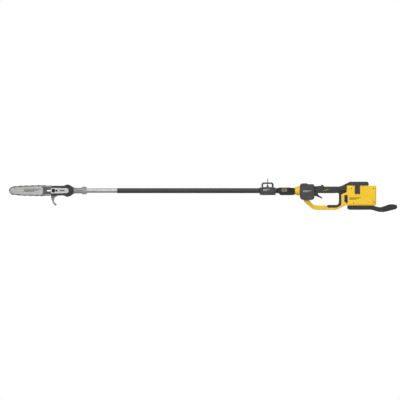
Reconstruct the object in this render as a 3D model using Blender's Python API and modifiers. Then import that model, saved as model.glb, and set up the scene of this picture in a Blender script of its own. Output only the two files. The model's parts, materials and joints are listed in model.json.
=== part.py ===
"""Telescoping pole saw: a battery power unit with two grips, a sliding pole and a chain saw head.

Metres, +Z up. The origin is on the pole's axis, at the face of the battery dock. +X runs to the
user, -X to the saw head, and the chain cover faces -Y, so left means -Y.
"""

from math import acos, ceil, cos, hypot, pi, radians, sin, tan

import bmesh
import bpy
from mathutils import Matrix, Vector

# ---------------------------------------------------------------- clearances and walls
GAP = 0.0003
PARTING = 0.0003
WALL = 0.003
WELD = 0.00001
SIDES = 16
FINE_SIDES = 24
ARC_STEP = radians(25)
BEYOND = 0.05

# ---------------------------------------------------------------- pole, as stations along X
POLE_RADIUS = 0.0155
POLE_WALL = 0.0015
TUBE_RADIUS = POLE_RADIUS - POLE_WALL - GAP
TUBE_BORE = TUBE_RADIUS - POLE_WALL
SLIDING_FIT = TUBE_RADIUS + GAP
POLE_FIT = POLE_RADIUS + GAP

OUTER_POLE_LENGTH = 0.9185
TUBE_GRIP = 0.060
TUBE_SHOWN = 0.1875
LOCK_LENGTH = 0.101
POLE_IN_LOCK = 0.045
GRIP_LENGTH = 0.108
NECK_LENGTH = 0.009
COLLAR_LENGTH = 0.0295
MOTOR_LENGTH = 0.090
HANDLE_LENGTH = 0.1985
HOUSING_LENGTH = 0.1808

HOUSING_FRONT = -HOUSING_LENGTH
HANDLE_REAR = HOUSING_FRONT - GAP
HANDLE_FRONT = HANDLE_REAR - HANDLE_LENGTH
MOTOR_REAR = HANDLE_FRONT - GAP
MOTOR_FRONT = MOTOR_REAR - MOTOR_LENGTH
COLLAR_REAR = MOTOR_FRONT - GAP
COLLAR_FRONT = COLLAR_REAR - COLLAR_LENGTH
GRIP_REAR = COLLAR_FRONT - GAP
GRIP_FRONT = GRIP_REAR - GRIP_LENGTH
LOCK_REAR = GRIP_FRONT - NECK_LENGTH - 0.0012
LOCK_FRONT = LOCK_REAR - LOCK_LENGTH
POLE_REAR = LOCK_FRONT + POLE_IN_LOCK
POLE_FRONT = POLE_REAR - OUTER_POLE_LENGTH
TUBE_REAR = POLE_FRONT + TUBE_GRIP
CLAMP_REAR = POLE_FRONT - TUBE_SHOWN
INNER_POLE_REAR = COLLAR_REAR - 0.0080
INNER_POLE_FRONT = TUBE_REAR + 0.015

# ---------------------------------------------------------------- drive line
DRIVE_BAR = 0.007
DRIVE_TUBE_RADIUS = 0.0065
DRIVE_BAR_FRONT = INNER_POLE_FRONT + 0.0175
DRIVE_TUBE_REAR = LOCK_FRONT - 0.081
SHAFT_RADIUS = 0.005
COUPLING_RADIUS = 0.0085
STATOR_RADIUS = 0.035
ROTOR_RADIUS = 0.0205
FAN_RADIUS = 0.034
BEARING_RADIUS = 0.0113

# ---------------------------------------------------------------- saw head, from its spindle
SPINDLE_X = CLAMP_REAR - 0.1175
SPINDLE_RADIUS = 0.006
TUBE_FRONT = SPINDLE_X + 0.0678
HUB_RADIUS = 0.034
HUB_LEFT, HUB_RIGHT = -0.020, 0.022
GEAR_CAVITY_RADIUS = 0.026
GEAR_CAVITY_FLOOR = -0.0143
NECK_RADIUS = TUBE_RADIUS + 0.0035
CLAMP_LENGTH = 0.0306
EAR_HALF = 0.0105
UPPER_EAR, LOWER_EAR = TUBE_RADIUS + 0.0108, TUBE_RADIUS + 0.0088
CLAMP_BOLT_RADIUS = 0.0020
CLAMP_BOLTS = ((TUBE_RADIUS + 0.0056, "upper"), (-TUBE_RADIUS - 0.0050, "lower"))
PINION_BEARING_RADIUS = 0.0118
SPINDLE_BEARING_RADIUS = 0.0095
GEAR_TEETH, PINION_TEETH = 15, 10
GEAR_MODULE = 0.002
GEAR_RADIUS = GEAR_TEETH * GEAR_MODULE / 2
PINION_RADIUS = PINION_TEETH * GEAR_MODULE / 2
INNER_END = 0.6

BAR_REACH = 0.3350
NOSE_X = SPINDLE_X - BAR_REACH
SHOULDER_X = NOSE_X + 0.0475
BULGE_X = SPINDLE_X - 0.1625
TAIL_X = SPINDLE_X - 0.0575
NOSE_PATH, SHOULDER_PATH, BULGE_PATH, SPROCKET_PATH, TAIL_RADIUS = 0.0180, 0.0228, 0.0262, 0.0176, 0.0195
BAR_CIRCLES = ((NOSE_X, NOSE_PATH), (SHOULDER_X, SHOULDER_PATH), (BULGE_X, BULGE_PATH))
CHAIN_PATH = (*BAR_CIRCLES, (SPINDLE_X, SPROCKET_PATH))
CHAIN_CLEARANCE = 0.0008
BAR_Y = -0.0265
BAR_THICKNESS = 0.0042
BAR_LEFT = BAR_Y - BAR_THICKNESS / 2
BAR_RIGHT = BAR_Y + BAR_THICKNESS / 2
CHAIN_WIDTH = 0.0064
CHAIN_LINKS = 88
NOSE_TEETH = 7
SPROCKET_TEETH = 7
TOOTH_GAP = 0.0006
STUD_X = SPINDLE_X - 0.0875
SCREW_X = SPINDLE_X - 0.0680
STUD_RADIUS = 0.0039
SCREW_SHANK = 0.003
BAR_SLOT = STUD_RADIUS + GAP
BAR_TRAVEL = 0.006
SLIDER_Z = 0.012
SLIDER_X = SPINDLE_X - 0.0575
PAD_FRONT = SPINDLE_X - 0.1035
PAD_HALF = 0.0165
PAD_LEFT = BAR_RIGHT + GAP
PAD_RIGHT = -0.012
COVER_FACE = -0.0455
PLATE_FACE = -0.0478

# ---------------------------------------------------------------- lock block
LOCK_HALF = POLE_RADIUS + 0.0105
LOCK_TOP, LOCK_BOTTOM = POLE_RADIUS + 0.0045, -POLE_RADIUS - 0.0040
LEVER_X = LOCK_REAR - 0.016
LEVER_Z = LOCK_BOTTOM - 0.0045
LEVER_HALF = 0.012
LEVER_END_RADIUS = 0.0035
CAM_RADIUS = 0.0040
CAM_OFFSET = 0.0010
SHOE_BOTTOM = LEVER_Z + CAM_OFFSET + CAM_RADIUS + GAP
SHOE_HALF = 0.0097
PIN_RADIUS = 0.0025
RING_X = LOCK_REAR - 0.0499
RING_Z = LOCK_TOP + 0.0085
LOOP_TOP = LOCK_TOP + 0.0307
RING_TOP = LOOP_TOP + 0.0200
RING_WIRE = 0.0025

# ---------------------------------------------------------------- power unit
MOTOR_TOP, MOTOR_BOTTOM, MOTOR_HALF = 0.0452, -0.0575, 0.048
HANDLE_TOP, HANDLE_UNDER, HANDLE_HALF = 0.0255, -0.0145, 0.018
GRIP_HALF = 0.022
SPIGOT = ((-0.0142, 0.0142), (-0.0300, 0.0265))
FOOT_TOP, FOOT_BOTTOM = -0.0876, -0.1045
FOOT_FRONT = HOUSING_FRONT - 0.1212
COLUMN_REAR = HOUSING_FRONT - 0.0338
COLUMN_FRONT = COLUMN_REAR - 0.0148
HOUSING_TOP, HOUSING_BOTTOM, HOUSING_HALF = 0.0310, -0.0910, 0.046
BUMPER_TOP = 0.0555
BUMPER_FRONT = HOUSING_FRONT + 0.0308
SKID_BOTTOM = -0.1175
TRIGGER_X = HANDLE_FRONT + 0.0117
TRIGGER_Z = -0.0265
BUTTON_X = HANDLE_FRONT + 0.0475
BUTTON_TRAVEL = 0.003
DOCK_TOP, DOCK_BOTTOM, DOCK_HALF = 0.020, -0.080, 0.038
VENT_PITCH = 0.0072
TERMINALS_Y = [0.006 * i for i in range(-2, 3)]
HARNESS_Y, HARNESS_Z, HARNESS_RADIUS = 0.0105, 0.010, 0.0025
CABLE_HOLE = HARNESS_RADIUS + 0.0007

FINISHES = {
    "black_plastic": ((0.035, 0.036, 0.038), 0.55, 0.0),
    "grip_rubber": ((0.030, 0.031, 0.033), 0.85, 0.0),
    "yellow_plastic": ((0.86, 0.66, 0.07), 0.42, 0.0),
    "painted_pole": ((0.055, 0.056, 0.060), 0.40, 0.2),
    "satin_aluminium": ((0.72, 0.73, 0.75), 0.32, 1.0),
    "cast_aluminium": ((0.45, 0.46, 0.47), 0.55, 1.0),
    "bright_steel": ((0.62, 0.62, 0.61), 0.30, 1.0),
    "dark_steel": ((0.22, 0.22, 0.23), 0.45, 1.0),
    "copper_winding": ((0.55, 0.27, 0.12), 0.45, 1.0),
    "circuit": ((0.10, 0.16, 0.12), 0.60, 0.0),
}

LEFT, RIGHT = -1, 1
SIDE_NAMES = ((LEFT, "left"), (RIGHT, "right"))


# ---------------------------------------------------------------- scene and materials
def clear_scene():
    for obj in list(bpy.data.objects):
        bpy.data.objects.remove(obj, do_unlink=True)


def new_collection(name):
    collection = bpy.data.collections.new(name)
    bpy.context.scene.collection.children.link(collection)
    return collection


def finish_material(name):
    material = bpy.data.materials.get(name)
    if material:
        return material
    colour, roughness, metallic = FINISHES[name]
    material = bpy.data.materials.new(name)
    material.use_nodes = True
    material.diffuse_color = (*colour, 1)
    shader = material.node_tree.nodes["Principled BSDF"]
    shader.inputs["Base Color"].default_value = (*colour, 1)
    shader.inputs["Roughness"].default_value = roughness
    shader.inputs["Metallic"].default_value = metallic
    return material


def pivot(name, location, parent=None):
    """An empty on a joint's axis."""
    empty = bpy.data.objects.new(name, None)
    empty.empty_display_size = 0.02
    PARTS.objects.link(empty)
    empty.location = location
    if parent:
        hang(empty, parent)
    return empty


def hang(obj, parent):
    """Parents obj without moving it."""
    bpy.context.view_layer.update()
    obj.parent = parent
    obj.matrix_parent_inverse = parent.matrix_world.inverted()


def part(obj, name, finish, parent=None):
    """Turns a raw shape into a named sub-part."""
    CUTTERS.objects.unlink(obj)
    PARTS.objects.link(obj)
    obj.name = name
    obj.data.name = name
    obj.hide_render = False
    obj.display_type = "TEXTURED"
    obj.data.materials.clear()
    obj.data.materials.append(finish_material(finish))
    if parent:
        hang(obj, parent)
    return obj


# ---------------------------------------------------------------- raw shapes
AXIS_TURNS = {"X": (0, pi / 2, 0), "Y": (-pi / 2, 0, 0), "Z": (0, 0, 0)}
PLATE_TURNS = {"X": (pi / 2, 0, pi / 2), "Y": (pi / 2, 0, 0), "Z": (0, 0, 0)}


def raw(mesh, location=(0, 0, 0), rotation=(0, 0, 0)):
    obj = bpy.data.objects.new("shape", mesh)
    CUTTERS.objects.link(obj)
    obj.location = location
    obj.rotation_euler = rotation
    obj.hide_render = True
    obj.display_type = "WIRE"
    return obj


def mesh_of(shape):
    mesh = bpy.data.meshes.new("shape")
    shape.to_mesh(mesh)
    shape.free()
    mesh.shade_smooth()
    mesh.set_sharp_from_angle(angle=radians(32))
    return mesh


def box(x, y, z):
    """A box between the (low, high) pairs x, y and z."""
    sizes = [high - low for low, high in (x, y, z)]
    shape = bmesh.new()
    bmesh.ops.create_cube(shape, size=1, matrix=Matrix.Diagonal((*sizes, 1)))
    return raw(mesh_of(shape), [(low + high) / 2 for low, high in (x, y, z)])


def cylinder(axis, centre, span, radius, end_radius=None, sides=SIDES):
    """A cylinder or cone along an axis, through centre (its other two coordinates) and span (low, high)."""
    low, high = span
    shape = bmesh.new()
    bmesh.ops.create_cone(
        shape,
        cap_ends=True,
        segments=sides,
        radius1=radius,
        radius2=radius if end_radius is None else end_radius,
        depth=high - low,
    )
    location = list(centre)
    location.insert("XYZ".index(axis), (low + high) / 2)
    return raw(mesh_of(shape), location, AXIS_TURNS[axis])


def turned(profile, axis, centre=(0, 0, 0), ring=True, sides=SIDES):
    """A turned shape. The profile's (radius, height) points run down its outer side."""
    mesh = bpy.data.meshes.new("shape")
    count = len(profile)
    edges = [(i, (i + 1) % count) for i in range(count if ring else count - 1)]
    mesh.from_pydata([(radius, 0, height) for radius, height in profile], edges, [])
    obj = raw(mesh, centre, AXIS_TURNS[axis])
    screw = obj.modifiers.new("Turn", "SCREW")
    screw.axis = "Z"
    screw.steps = sides
    screw.render_steps = sides
    screw.use_merge_vertices = True
    screw.merge_threshold = WELD
    screw.use_smooth_shade = True
    return obj


def sleeve(axis, centre, span, radius, bore, sides=SIDES):
    """A plain tube or ring."""
    low, high = span
    location = list(centre)
    location.insert("XYZ".index(axis), 0)
    return turned([(radius, high), (radius, low), (bore, low), (bore, high)], axis, location, sides=sides)


def mesh_from_curve(curve):
    """Swaps a curve for a mesh of the same shape, with its caps welded on."""
    bpy.context.view_layer.update()
    graph = bpy.context.evaluated_depsgraph_get()
    mesh = bpy.data.meshes.new_from_object(curve.evaluated_get(graph))
    shape = bmesh.new()
    shape.from_mesh(mesh)
    bpy.data.meshes.remove(mesh)
    bmesh.ops.remove_doubles(shape, verts=shape.verts, dist=WELD)
    bmesh.ops.dissolve_limit(shape, angle_limit=radians(0.5), verts=shape.verts, edges=shape.edges)
    bmesh.ops.recalc_face_normals(shape, faces=shape.faces)
    obj = raw(mesh_of(shape))
    obj.location = curve.location
    obj.rotation_euler = curve.rotation_euler
    bpy.data.objects.remove(curve)
    return obj


def plate(outline, span, axis="Y", holes=(), centre=(0, 0)):
    """An outline of (x, z) points, or (y, z) along X, given the thickness of span (low, high)."""
    low, high = span
    data = bpy.data.curves.new("outline", "CURVE")
    data.dimensions = "2D"
    data.fill_mode = "BOTH"
    data.extrude = (high - low) / 2
    for points in (outline, *holes):
        spline = data.splines.new("POLY")
        spline.points.add(len(points) - 1)
        spline.use_cyclic_u = True
        for point, (across, up) in zip(spline.points, points):
            point.co = (across, up, 0, 1)
    curve = bpy.data.objects.new("outline", data)
    CUTTERS.objects.link(curve)
    location = list(centre)
    location.insert("XYZ".index(axis), (low + high) / 2)
    curve.location = location
    curve.rotation_euler = PLATE_TURNS[axis]
    return mesh_from_curve(curve)


def wire(points, radius, cyclic=False):
    """A round wire or cable through the points, smoothed between them."""
    data = bpy.data.curves.new("wire", "CURVE")
    data.dimensions = "3D"
    data.bevel_depth = radius
    data.bevel_resolution = 2
    data.use_fill_caps = True
    spline = data.splines.new("POLY")
    spline.points.add(len(points) - 1)
    spline.use_cyclic_u = cyclic
    for point, place in zip(spline.points, points):
        point.co = (*place, 1)
    curve = bpy.data.objects.new("wire", data)
    CUTTERS.objects.link(curve)
    return mesh_from_curve(curve)


# ---------------------------------------------------------------- outlines
def circle(radius, centre=(0, 0), sides=SIDES):
    across, up = centre
    turns = [2 * pi * i / sides for i in range(sides)]
    return [(across + radius * cos(turn), up + radius * sin(turn)) for turn in turns]


def rounded(corners):
    """The outline through (x, z) corners, with an arc at each corner (x, z, radius) that gives one."""
    points = []
    for index, (x, z, *radius) in enumerate(corners):
        here = Vector((x, z))
        if not radius:
            points.append((x, z))
            continue
        back = (Vector(corners[index - 1][:2]) - here).normalized()
        ahead = (Vector(corners[(index + 1) % len(corners)][:2]) - here).normalized()
        half = back.angle(ahead) / 2
        centre = here + (back + ahead).normalized() * (radius[0] / sin(half))
        start = here + back * (radius[0] / tan(half)) - centre
        end = here + ahead * (radius[0] / tan(half)) - centre
        turn = (pi - 2 * half) * (1 if start.x * end.y > start.y * end.x else -1)
        steps = max(1, ceil(abs(turn) / ARC_STEP))
        for step in range(steps + 1):
            point = centre + Matrix.Rotation(turn * step / steps, 2) @ start
            points.append((point.x, point.y))
    return points


def inset(corners, distance):
    """The same corners moved in by a wall, whichever way round they run."""
    count = len(corners)
    area = sum(
        corners[i - 1][0] * corners[i][1] - corners[i][0] * corners[i - 1][1] for i in range(count)
    )
    turn = 1 if area > 0 else -1
    moved = []
    for index, (x, z, *radius) in enumerate(corners):
        here = Vector((x, z))
        arrives = (here - Vector(corners[index - 1][:2])).normalized()
        leaves = (Vector(corners[(index + 1) % count][:2]) - here).normalized()
        first = Vector((-arrives.y, arrives.x)) * turn
        second = Vector((-leaves.y, leaves.x)) * turn
        place = here + (first + second) * (distance / (1 + first.dot(second)))
        bends_out = (arrives.x * leaves.y - arrives.y * leaves.x) * turn > 0
        if radius:
            radius = [max(radius[0] - distance, 0.001) if bends_out else radius[0] + distance]
        moved.append((place.x, place.y, *radius))
    return moved


def belt(circles, grow=0.0):
    """A belt round circles (x, radius) in order of x, all centred on z = 0: (x, z) points, anticlockwise."""
    circles = [(x, radius + grow) for x, radius in circles]
    leaves = [acos((r0 - r1) / (x1 - x0)) for (x0, r0), (x1, r1) in zip(circles, circles[1:])]
    upper = []
    for (x, radius), start, end in reversed(list(zip(circles, leaves + [0], [pi] + leaves))):
        steps = max(1, ceil((end - start) / ARC_STEP * 1.6))
        for step in range(steps + 1):
            turn = start + (end - start) * step / steps
            upper.append((x + radius * cos(turn), radius * sin(turn)))
    lower = [(x, -z) for x, z in reversed(upper[1:-1])]
    return upper + lower


def along(outline, distance):
    """The point at a distance along a closed outline that runs anticlockwise, and its outward direction."""
    for start, end in zip(outline, outline[1:] + outline[:1]):
        run = hypot(end[0] - start[0], end[1] - start[1])
        if distance <= run:
            break
        distance -= run
    ahead = Vector((end[0] - start[0], end[1] - start[1])).normalized()
    return Vector(start) + ahead * distance, Vector((ahead.y, -ahead.x))


def length_of(outline):
    return sum(hypot(b[0] - a[0], b[1] - a[1]) for a, b in zip(outline, outline[1:] + outline[:1]))


def toothed(teeth, root, tip, share, phase=0.0):
    """A toothed wheel. Each tooth takes this share of its pitch at the tip, and more at the root."""
    points = []
    for tooth in range(teeth):
        for place, radius in (
            (-share / 2 - 0.12, root),
            (-share / 2, tip),
            (share / 2, tip),
            (share / 2 + 0.12, root),
        ):
            turn = 2 * pi * (tooth + phase + place) / teeth
            points.append((radius * cos(turn), radius * sin(turn)))
    return points


# ---------------------------------------------------------------- shaping
def bevel(obj, width, segments=2):
    modifier = obj.modifiers.new("Round", "BEVEL")
    modifier.width = width
    modifier.segments = segments
    modifier.limit_method = "ANGLE"
    modifier.angle_limit = radians(40)
    return obj


def combine(obj, operation, others):
    for other in others:
        modifier = obj.modifiers.new(operation.title(), "BOOLEAN")
        modifier.operation = operation
        modifier.solver = "EXACT"
        modifier.object = other
    return obj


def cut(obj, *cutters):
    return combine(obj, "DIFFERENCE", cutters)


def join(obj, *others):
    return combine(obj, "UNION", others)


def keep_side(obj, side):
    """Keeps one side of the parting plane, less half the parting gap."""
    near, far = side * PARTING / 2, -side
    return cut(obj, box((-3, 1), sorted((near, far)), (-1, 1)))


def soft_plate(corners, half, width):
    return bevel(plate(rounded(corners), (-half, half)), width)


def beyond(x):
    """Everything on the +X side of x."""
    return box((x, x + BEYOND), (-BEYOND * 2, BEYOND * 2), (-BEYOND * 4, BEYOND * 4))


def before(x):
    """Everything on the -X side of x."""
    return box((x - BEYOND, x), (-BEYOND * 2, BEYOND * 2), (-BEYOND * 4, BEYOND * 4))


def shell(*bodies):
    """A hollow body of overlapping bodies, each (corners, half width, bevel)."""
    outer = [soft_plate(*body) for body in bodies]
    inner = [
        soft_plate(inset(corners, WALL), half - WALL, max(width - WALL, 0.001))
        for corners, half, width in bodies
    ]
    join(outer[0], *outer[1:])
    return cut(outer[0], *inner)


# ---------------------------------------------------------------- poles
def make_poles(boom):
    inner = sleeve("X", (0, 0), (INNER_POLE_FRONT, INNER_POLE_REAR), TUBE_RADIUS, TUBE_BORE, FINE_SIDES)
    part(inner, "inner_pole", "satin_aluminium")
    bush = sleeve(
        "X",
        (0, 0),
        (INNER_POLE_FRONT + 0.001, INNER_POLE_FRONT + 0.021),
        TUBE_BORE - GAP,
        DRIVE_TUBE_RADIUS + GAP,
    )
    part(bush, "inner_pole_bush", "black_plastic")
    outer = sleeve("X", (0, 0), (POLE_FRONT, POLE_REAR), POLE_RADIUS, POLE_RADIUS - POLE_WALL, FINE_SIDES)
    part(outer, "outer_pole", "painted_pole", boom)
    front = sleeve("X", (0, 0), (TUBE_FRONT, TUBE_REAR), TUBE_RADIUS, TUBE_BORE, FINE_SIDES)
    part(front, "front_tube", "satin_aluminium", boom)


def make_lock(boom):
    """The block that clamps the outer pole on the inner pole, with the carrying ring on top."""
    lug_front, lug_bottom = LEVER_X - 0.031, LEVER_Z - LEVER_END_RADIUS
    slot_front, slot_rear = LEVER_X - 0.0105, LEVER_X + 0.0105
    for side, label in SIDE_NAMES:
        corners = [
            (LOCK_FRONT, LOCK_BOTTOM),
            (LOCK_REAR, LOCK_BOTTOM),
            (LOCK_REAR, LOCK_TOP),
            (LOCK_FRONT, LOCK_TOP),
        ]
        body = soft_plate(corners, LOCK_HALF, 0.004)
        lug_y = sorted((side * (LEVER_HALF + 0.0005), side * (LOCK_HALF - 0.0004)))
        lug = bevel(box((lug_front, LOCK_REAR - 0.0005), lug_y, (lug_bottom, LOCK_BOTTOM + 0.006)), 0.0015)
        join(body, lug)
        trunnion_y = sorted((side * (LEVER_HALF - 0.001), side * (LEVER_HALF + 0.0085)))
        cut(
            body,
            cylinder("X", (0, 0), (LOCK_FRONT - 0.01, POLE_REAR + GAP), POLE_FIT, sides=FINE_SIDES),
            cylinder("X", (0, 0), (POLE_REAR, LOCK_REAR + 0.01), SLIDING_FIT, sides=FINE_SIDES),
            box((slot_front, slot_rear), (-SHOE_HALF - GAP, SHOE_HALF + GAP), (LOCK_BOTTOM - 0.002, 0)),
            cylinder("Y", (LEVER_X, LEVER_Z), trunnion_y, PIN_RADIUS + GAP),
        )
        keep_side(body, side)
        part(body, f"lock_body_{label}", "black_plastic", boom)

    lever_pivot = pivot("lock_lever_pivot", (LEVER_X, 0, LEVER_Z), boom)
    front = LOCK_FRONT + 0.003
    corners = [
        (front, LOCK_BOTTOM - GAP),
        (front, LEVER_Z - 0.0016, 0.0015),
        (front + 0.012, LEVER_Z - LEVER_END_RADIUS, 0.01),
        (LEVER_X, LEVER_Z - LEVER_END_RADIUS),
        (LEVER_X + LEVER_END_RADIUS, LEVER_Z - LEVER_END_RADIUS, LEVER_END_RADIUS - 0.0001),
        (LEVER_X + LEVER_END_RADIUS, LEVER_Z + LEVER_END_RADIUS, LEVER_END_RADIUS - 0.0001),
        (LEVER_X - 0.0120, LEVER_Z + LEVER_END_RADIUS),
        (LEVER_X - 0.0150, LOCK_BOTTOM - GAP),
    ]
    lever = plate(rounded(corners), (-LEVER_HALF, LEVER_HALF))
    join(
        lever,
        cylinder("Y", (LEVER_X, LEVER_Z + CAM_OFFSET), (-0.0095, 0.0095), CAM_RADIUS, sides=FINE_SIDES),
        cylinder("Y", (LEVER_X, LEVER_Z), (-LEVER_HALF - 0.008, LEVER_HALF + 0.008), PIN_RADIUS),
    )
    part(lever, "lock_lever", "black_plastic", lever_pivot)

    shoe = box((LEVER_X - 0.010, LEVER_X + 0.010), (-SHOE_HALF, SHOE_HALF), (SHOE_BOTTOM, -0.006))
    cut(shoe, cylinder("X", (0, 0), (LEVER_X - 0.02, LEVER_X + 0.02), SLIDING_FIT, sides=FINE_SIDES))
    part(shoe, "clamp_shoe", "dark_steel", boom)

    make_hanger(boom)


def make_hanger(boom):
    base = LOCK_TOP + GAP
    floor, lug_top = base + 0.0022, RING_Z + 0.0060
    front, rear, top = RING_X - 0.0375, RING_X + 0.0375, LOOP_TOP
    outline = rounded(
        [
            (front, base, 0.001),
            (rear, base, 0.001),
            (rear, top - 0.010, 0.006),
            (rear - 0.008, top, 0.006),
            (front + 0.008, top, 0.006),
            (front, top - 0.010, 0.006),
        ]
    )
    hole = rounded(
        [
            (front + 0.0104, floor, 0.002),
            (RING_X - 0.0075, floor),
            (RING_X - 0.0045, lug_top, 0.002),
            (RING_X + 0.0045, lug_top, 0.002),
            (RING_X + 0.0075, floor),
            (rear - 0.0116, floor, 0.002),
            (rear - 0.0116, top - 0.0095, 0.005),
            (front + 0.0104, top - 0.0095, 0.005),
        ]
    )
    eye = circle(RING_WIRE + GAP, (RING_X, RING_Z), 16)
    loop = plate(outline, (-0.005, 0.005), holes=(hole, eye))
    part(loop, "hanger_loop", "black_plastic", boom)

    ring_pivot = pivot("hanger_ring_pivot", (RING_X, 0, RING_Z), boom)
    corner = 0.010
    outline = rounded(
        [
            (-0.020, RING_Z, corner),
            (0.020, RING_Z, corner),
            (0.020, RING_TOP, corner),
            (-0.020, RING_TOP, corner),
        ]
    )
    ring = wire([(RING_X, y, z) for y, z in outline], RING_WIRE, cyclic=True)
    part(ring, "hanger_ring", "bright_steel", ring_pivot)


# ---------------------------------------------------------------- saw head
def make_gear_case(boom):
    case = cylinder("Y", (SPINDLE_X, 0), (HUB_LEFT, HUB_RIGHT), HUB_RADIUS, sides=FINE_SIDES)
    clamp_front = CLAMP_REAR - CLAMP_LENGTH
    flare_x = (SPINDLE_X + 0.014, SPINDLE_X + 0.046)
    flare = cylinder("X", (0, 0), flare_x, HUB_RADIUS - 0.002, NECK_RADIUS, sides=FINE_SIDES)
    cut(flare, *[box((-3, 0), sorted((y, y * 3)), (-1, 1)) for y in (HUB_LEFT + GAP, HUB_RIGHT - GAP)])
    neck = cylinder("X", (0, 0), (SPINDLE_X + 0.012, CLAMP_REAR), NECK_RADIUS, sides=FINE_SIDES)
    clamp_x = (clamp_front, CLAMP_REAR)
    upper_ear = bevel(box(clamp_x, (-EAR_HALF, EAR_HALF), (0.010, UPPER_EAR)), 0.003)
    lower_ear = bevel(box(clamp_x, (-EAR_HALF, EAR_HALF), (-LOWER_EAR, -0.010)), 0.003)
    pad = bevel(box((PAD_FRONT, SPINDLE_X), (PAD_LEFT, PAD_RIGHT), (-PAD_HALF, PAD_HALF)), 0.002)
    join(case, flare, neck, upper_ear, lower_ear, pad)

    socket_rear = SPINDLE_X + 0.0675
    channel_x = (SLIDER_X - 0.0085, SLIDER_X + 0.0085 + BAR_TRAVEL)
    cut(
        case,
        cylinder("Y", (SPINDLE_X, 0), (GEAR_CAVITY_FLOOR, 0.03), GEAR_CAVITY_RADIUS, sides=FINE_SIDES),
        cylinder("Y", (SPINDLE_X, 0), (GEAR_CAVITY_FLOOR - 0.0037, 0), SPINDLE_BEARING_RADIUS + GAP),
        cylinder("Y", (SPINDLE_X, 0), (-0.03, 0), SPINDLE_RADIUS + 2 * GAP),
        cylinder("X", (0, 0), (SPINDLE_X + 0.015, SPINDLE_X + 0.0343), PINION_BEARING_RADIUS + GAP),
        cylinder("X", (0, 0), (SPINDLE_X + 0.015, CLAMP_REAR), DRIVE_TUBE_RADIUS + 0.001),
        cylinder("X", (0, 0), (socket_rear, CLAMP_REAR + 0.01), SLIDING_FIT, sides=FINE_SIDES),
        box((clamp_front + 0.004, CLAMP_REAR + 0.01), (-0.0008, 0.0008), (-0.04, 0.04)),
        cylinder("Y", (STUD_X, 0), (-0.03, 0), STUD_RADIUS + GAP),
        cylinder("Y", (SCREW_X, 0), (-0.03, -0.0193), SCREW_SHANK + GAP),
        box(channel_x, (-0.03, PAD_LEFT + 0.0069), (SLIDER_Z - 0.0033, SLIDER_Z + 0.0033)),
        *[
            cylinder("Y", (CLAMP_REAR - CLAMP_LENGTH / 2, z), (-0.03, 0.03), CLAMP_BOLT_RADIUS + GAP)
            for z, _ in CLAMP_BOLTS
        ],
    )
    part(case, "gear_case", "cast_aluminium", boom)

    head_y = (-EAR_HALF - GAP - 0.003, -EAR_HALF - GAP)
    for z, label in CLAMP_BOLTS:
        place = (CLAMP_REAR - CLAMP_LENGTH / 2, z)
        bolt = cylinder("Y", place, (head_y[0], EAR_HALF + 0.002), CLAMP_BOLT_RADIUS)
        join(bolt, cylinder("Y", place, head_y, 0.0032))
        part(bolt, f"clamp_bolt_{label}", "dark_steel", boom)

    cover = turned(
        [
            (0.0305, HUB_RIGHT + 0.0043),
            (0.0305, HUB_RIGHT + GAP),
            (0.0125, HUB_RIGHT + GAP),
            (0.0125, 0.0120),
            (SPINDLE_RADIUS + GAP, 0.0120),
            (SPINDLE_RADIUS + GAP, HUB_RIGHT + 0.0043),
        ],
        "Y",
        (SPINDLE_X, 0, 0),
        sides=FINE_SIDES,
    )
    part(cover, "gear_case_cover", "cast_aluminium", boom)


def make_gears(head_shaft, spindle):
    """Bevel wheels whose cones meet where the shaft's axis crosses the spindle."""
    addendum, dedendum = GEAR_MODULE * 0.6, GEAR_MODULE * 0.9

    def bevel_wheel(teeth, radius, cone, axis, centre, phase):
        """The end nearer the crossing is smaller, so that all lines of a tooth meet there."""
        outline = toothed(teeth, radius - dedendum, radius + addendum, 0.26, phase)
        wheel = plate(outline, sorted((cone, cone * INNER_END)), axis, centre=centre)
        for vertex in wheel.data.vertices:
            if vertex.co.z < 0:
                vertex.co.x *= INNER_END
                vertex.co.y *= INNER_END
        return wheel

    gear = bevel_wheel(GEAR_TEETH, GEAR_RADIUS, -PINION_RADIUS, "Y", (0, 0), 0.5)
    gear.location.x = SPINDLE_X
    back = GEAR_CAVITY_FLOOR + 0.0008
    join(gear, cylinder("Y", (SPINDLE_X, 0), (back, -PINION_RADIUS * 0.94), 0.0105))
    cut(gear, cylinder("Y", (SPINDLE_X, 0), (-0.03, 0.03), SPINDLE_RADIUS + GAP))
    part(gear, "bevel_gear", "dark_steel", spindle)

    pinion = bevel_wheel(PINION_TEETH, PINION_RADIUS, GEAR_RADIUS, "X", (0, 0), 0.0)
    pinion.location.x += SPINDLE_X
    hub_end = SPINDLE_X + 0.020
    bore = DRIVE_BAR / 2
    join(
        pinion,
        cylinder("X", (0, 0), (SPINDLE_X + GEAR_RADIUS * 0.8, hub_end), 0.0068),
        cylinder("X", (0, 0), (hub_end - 0.002, hub_end + 0.015), bore - 0.0002),
    )
    part(pinion, "bevel_pinion", "dark_steel", head_shaft)


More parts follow.
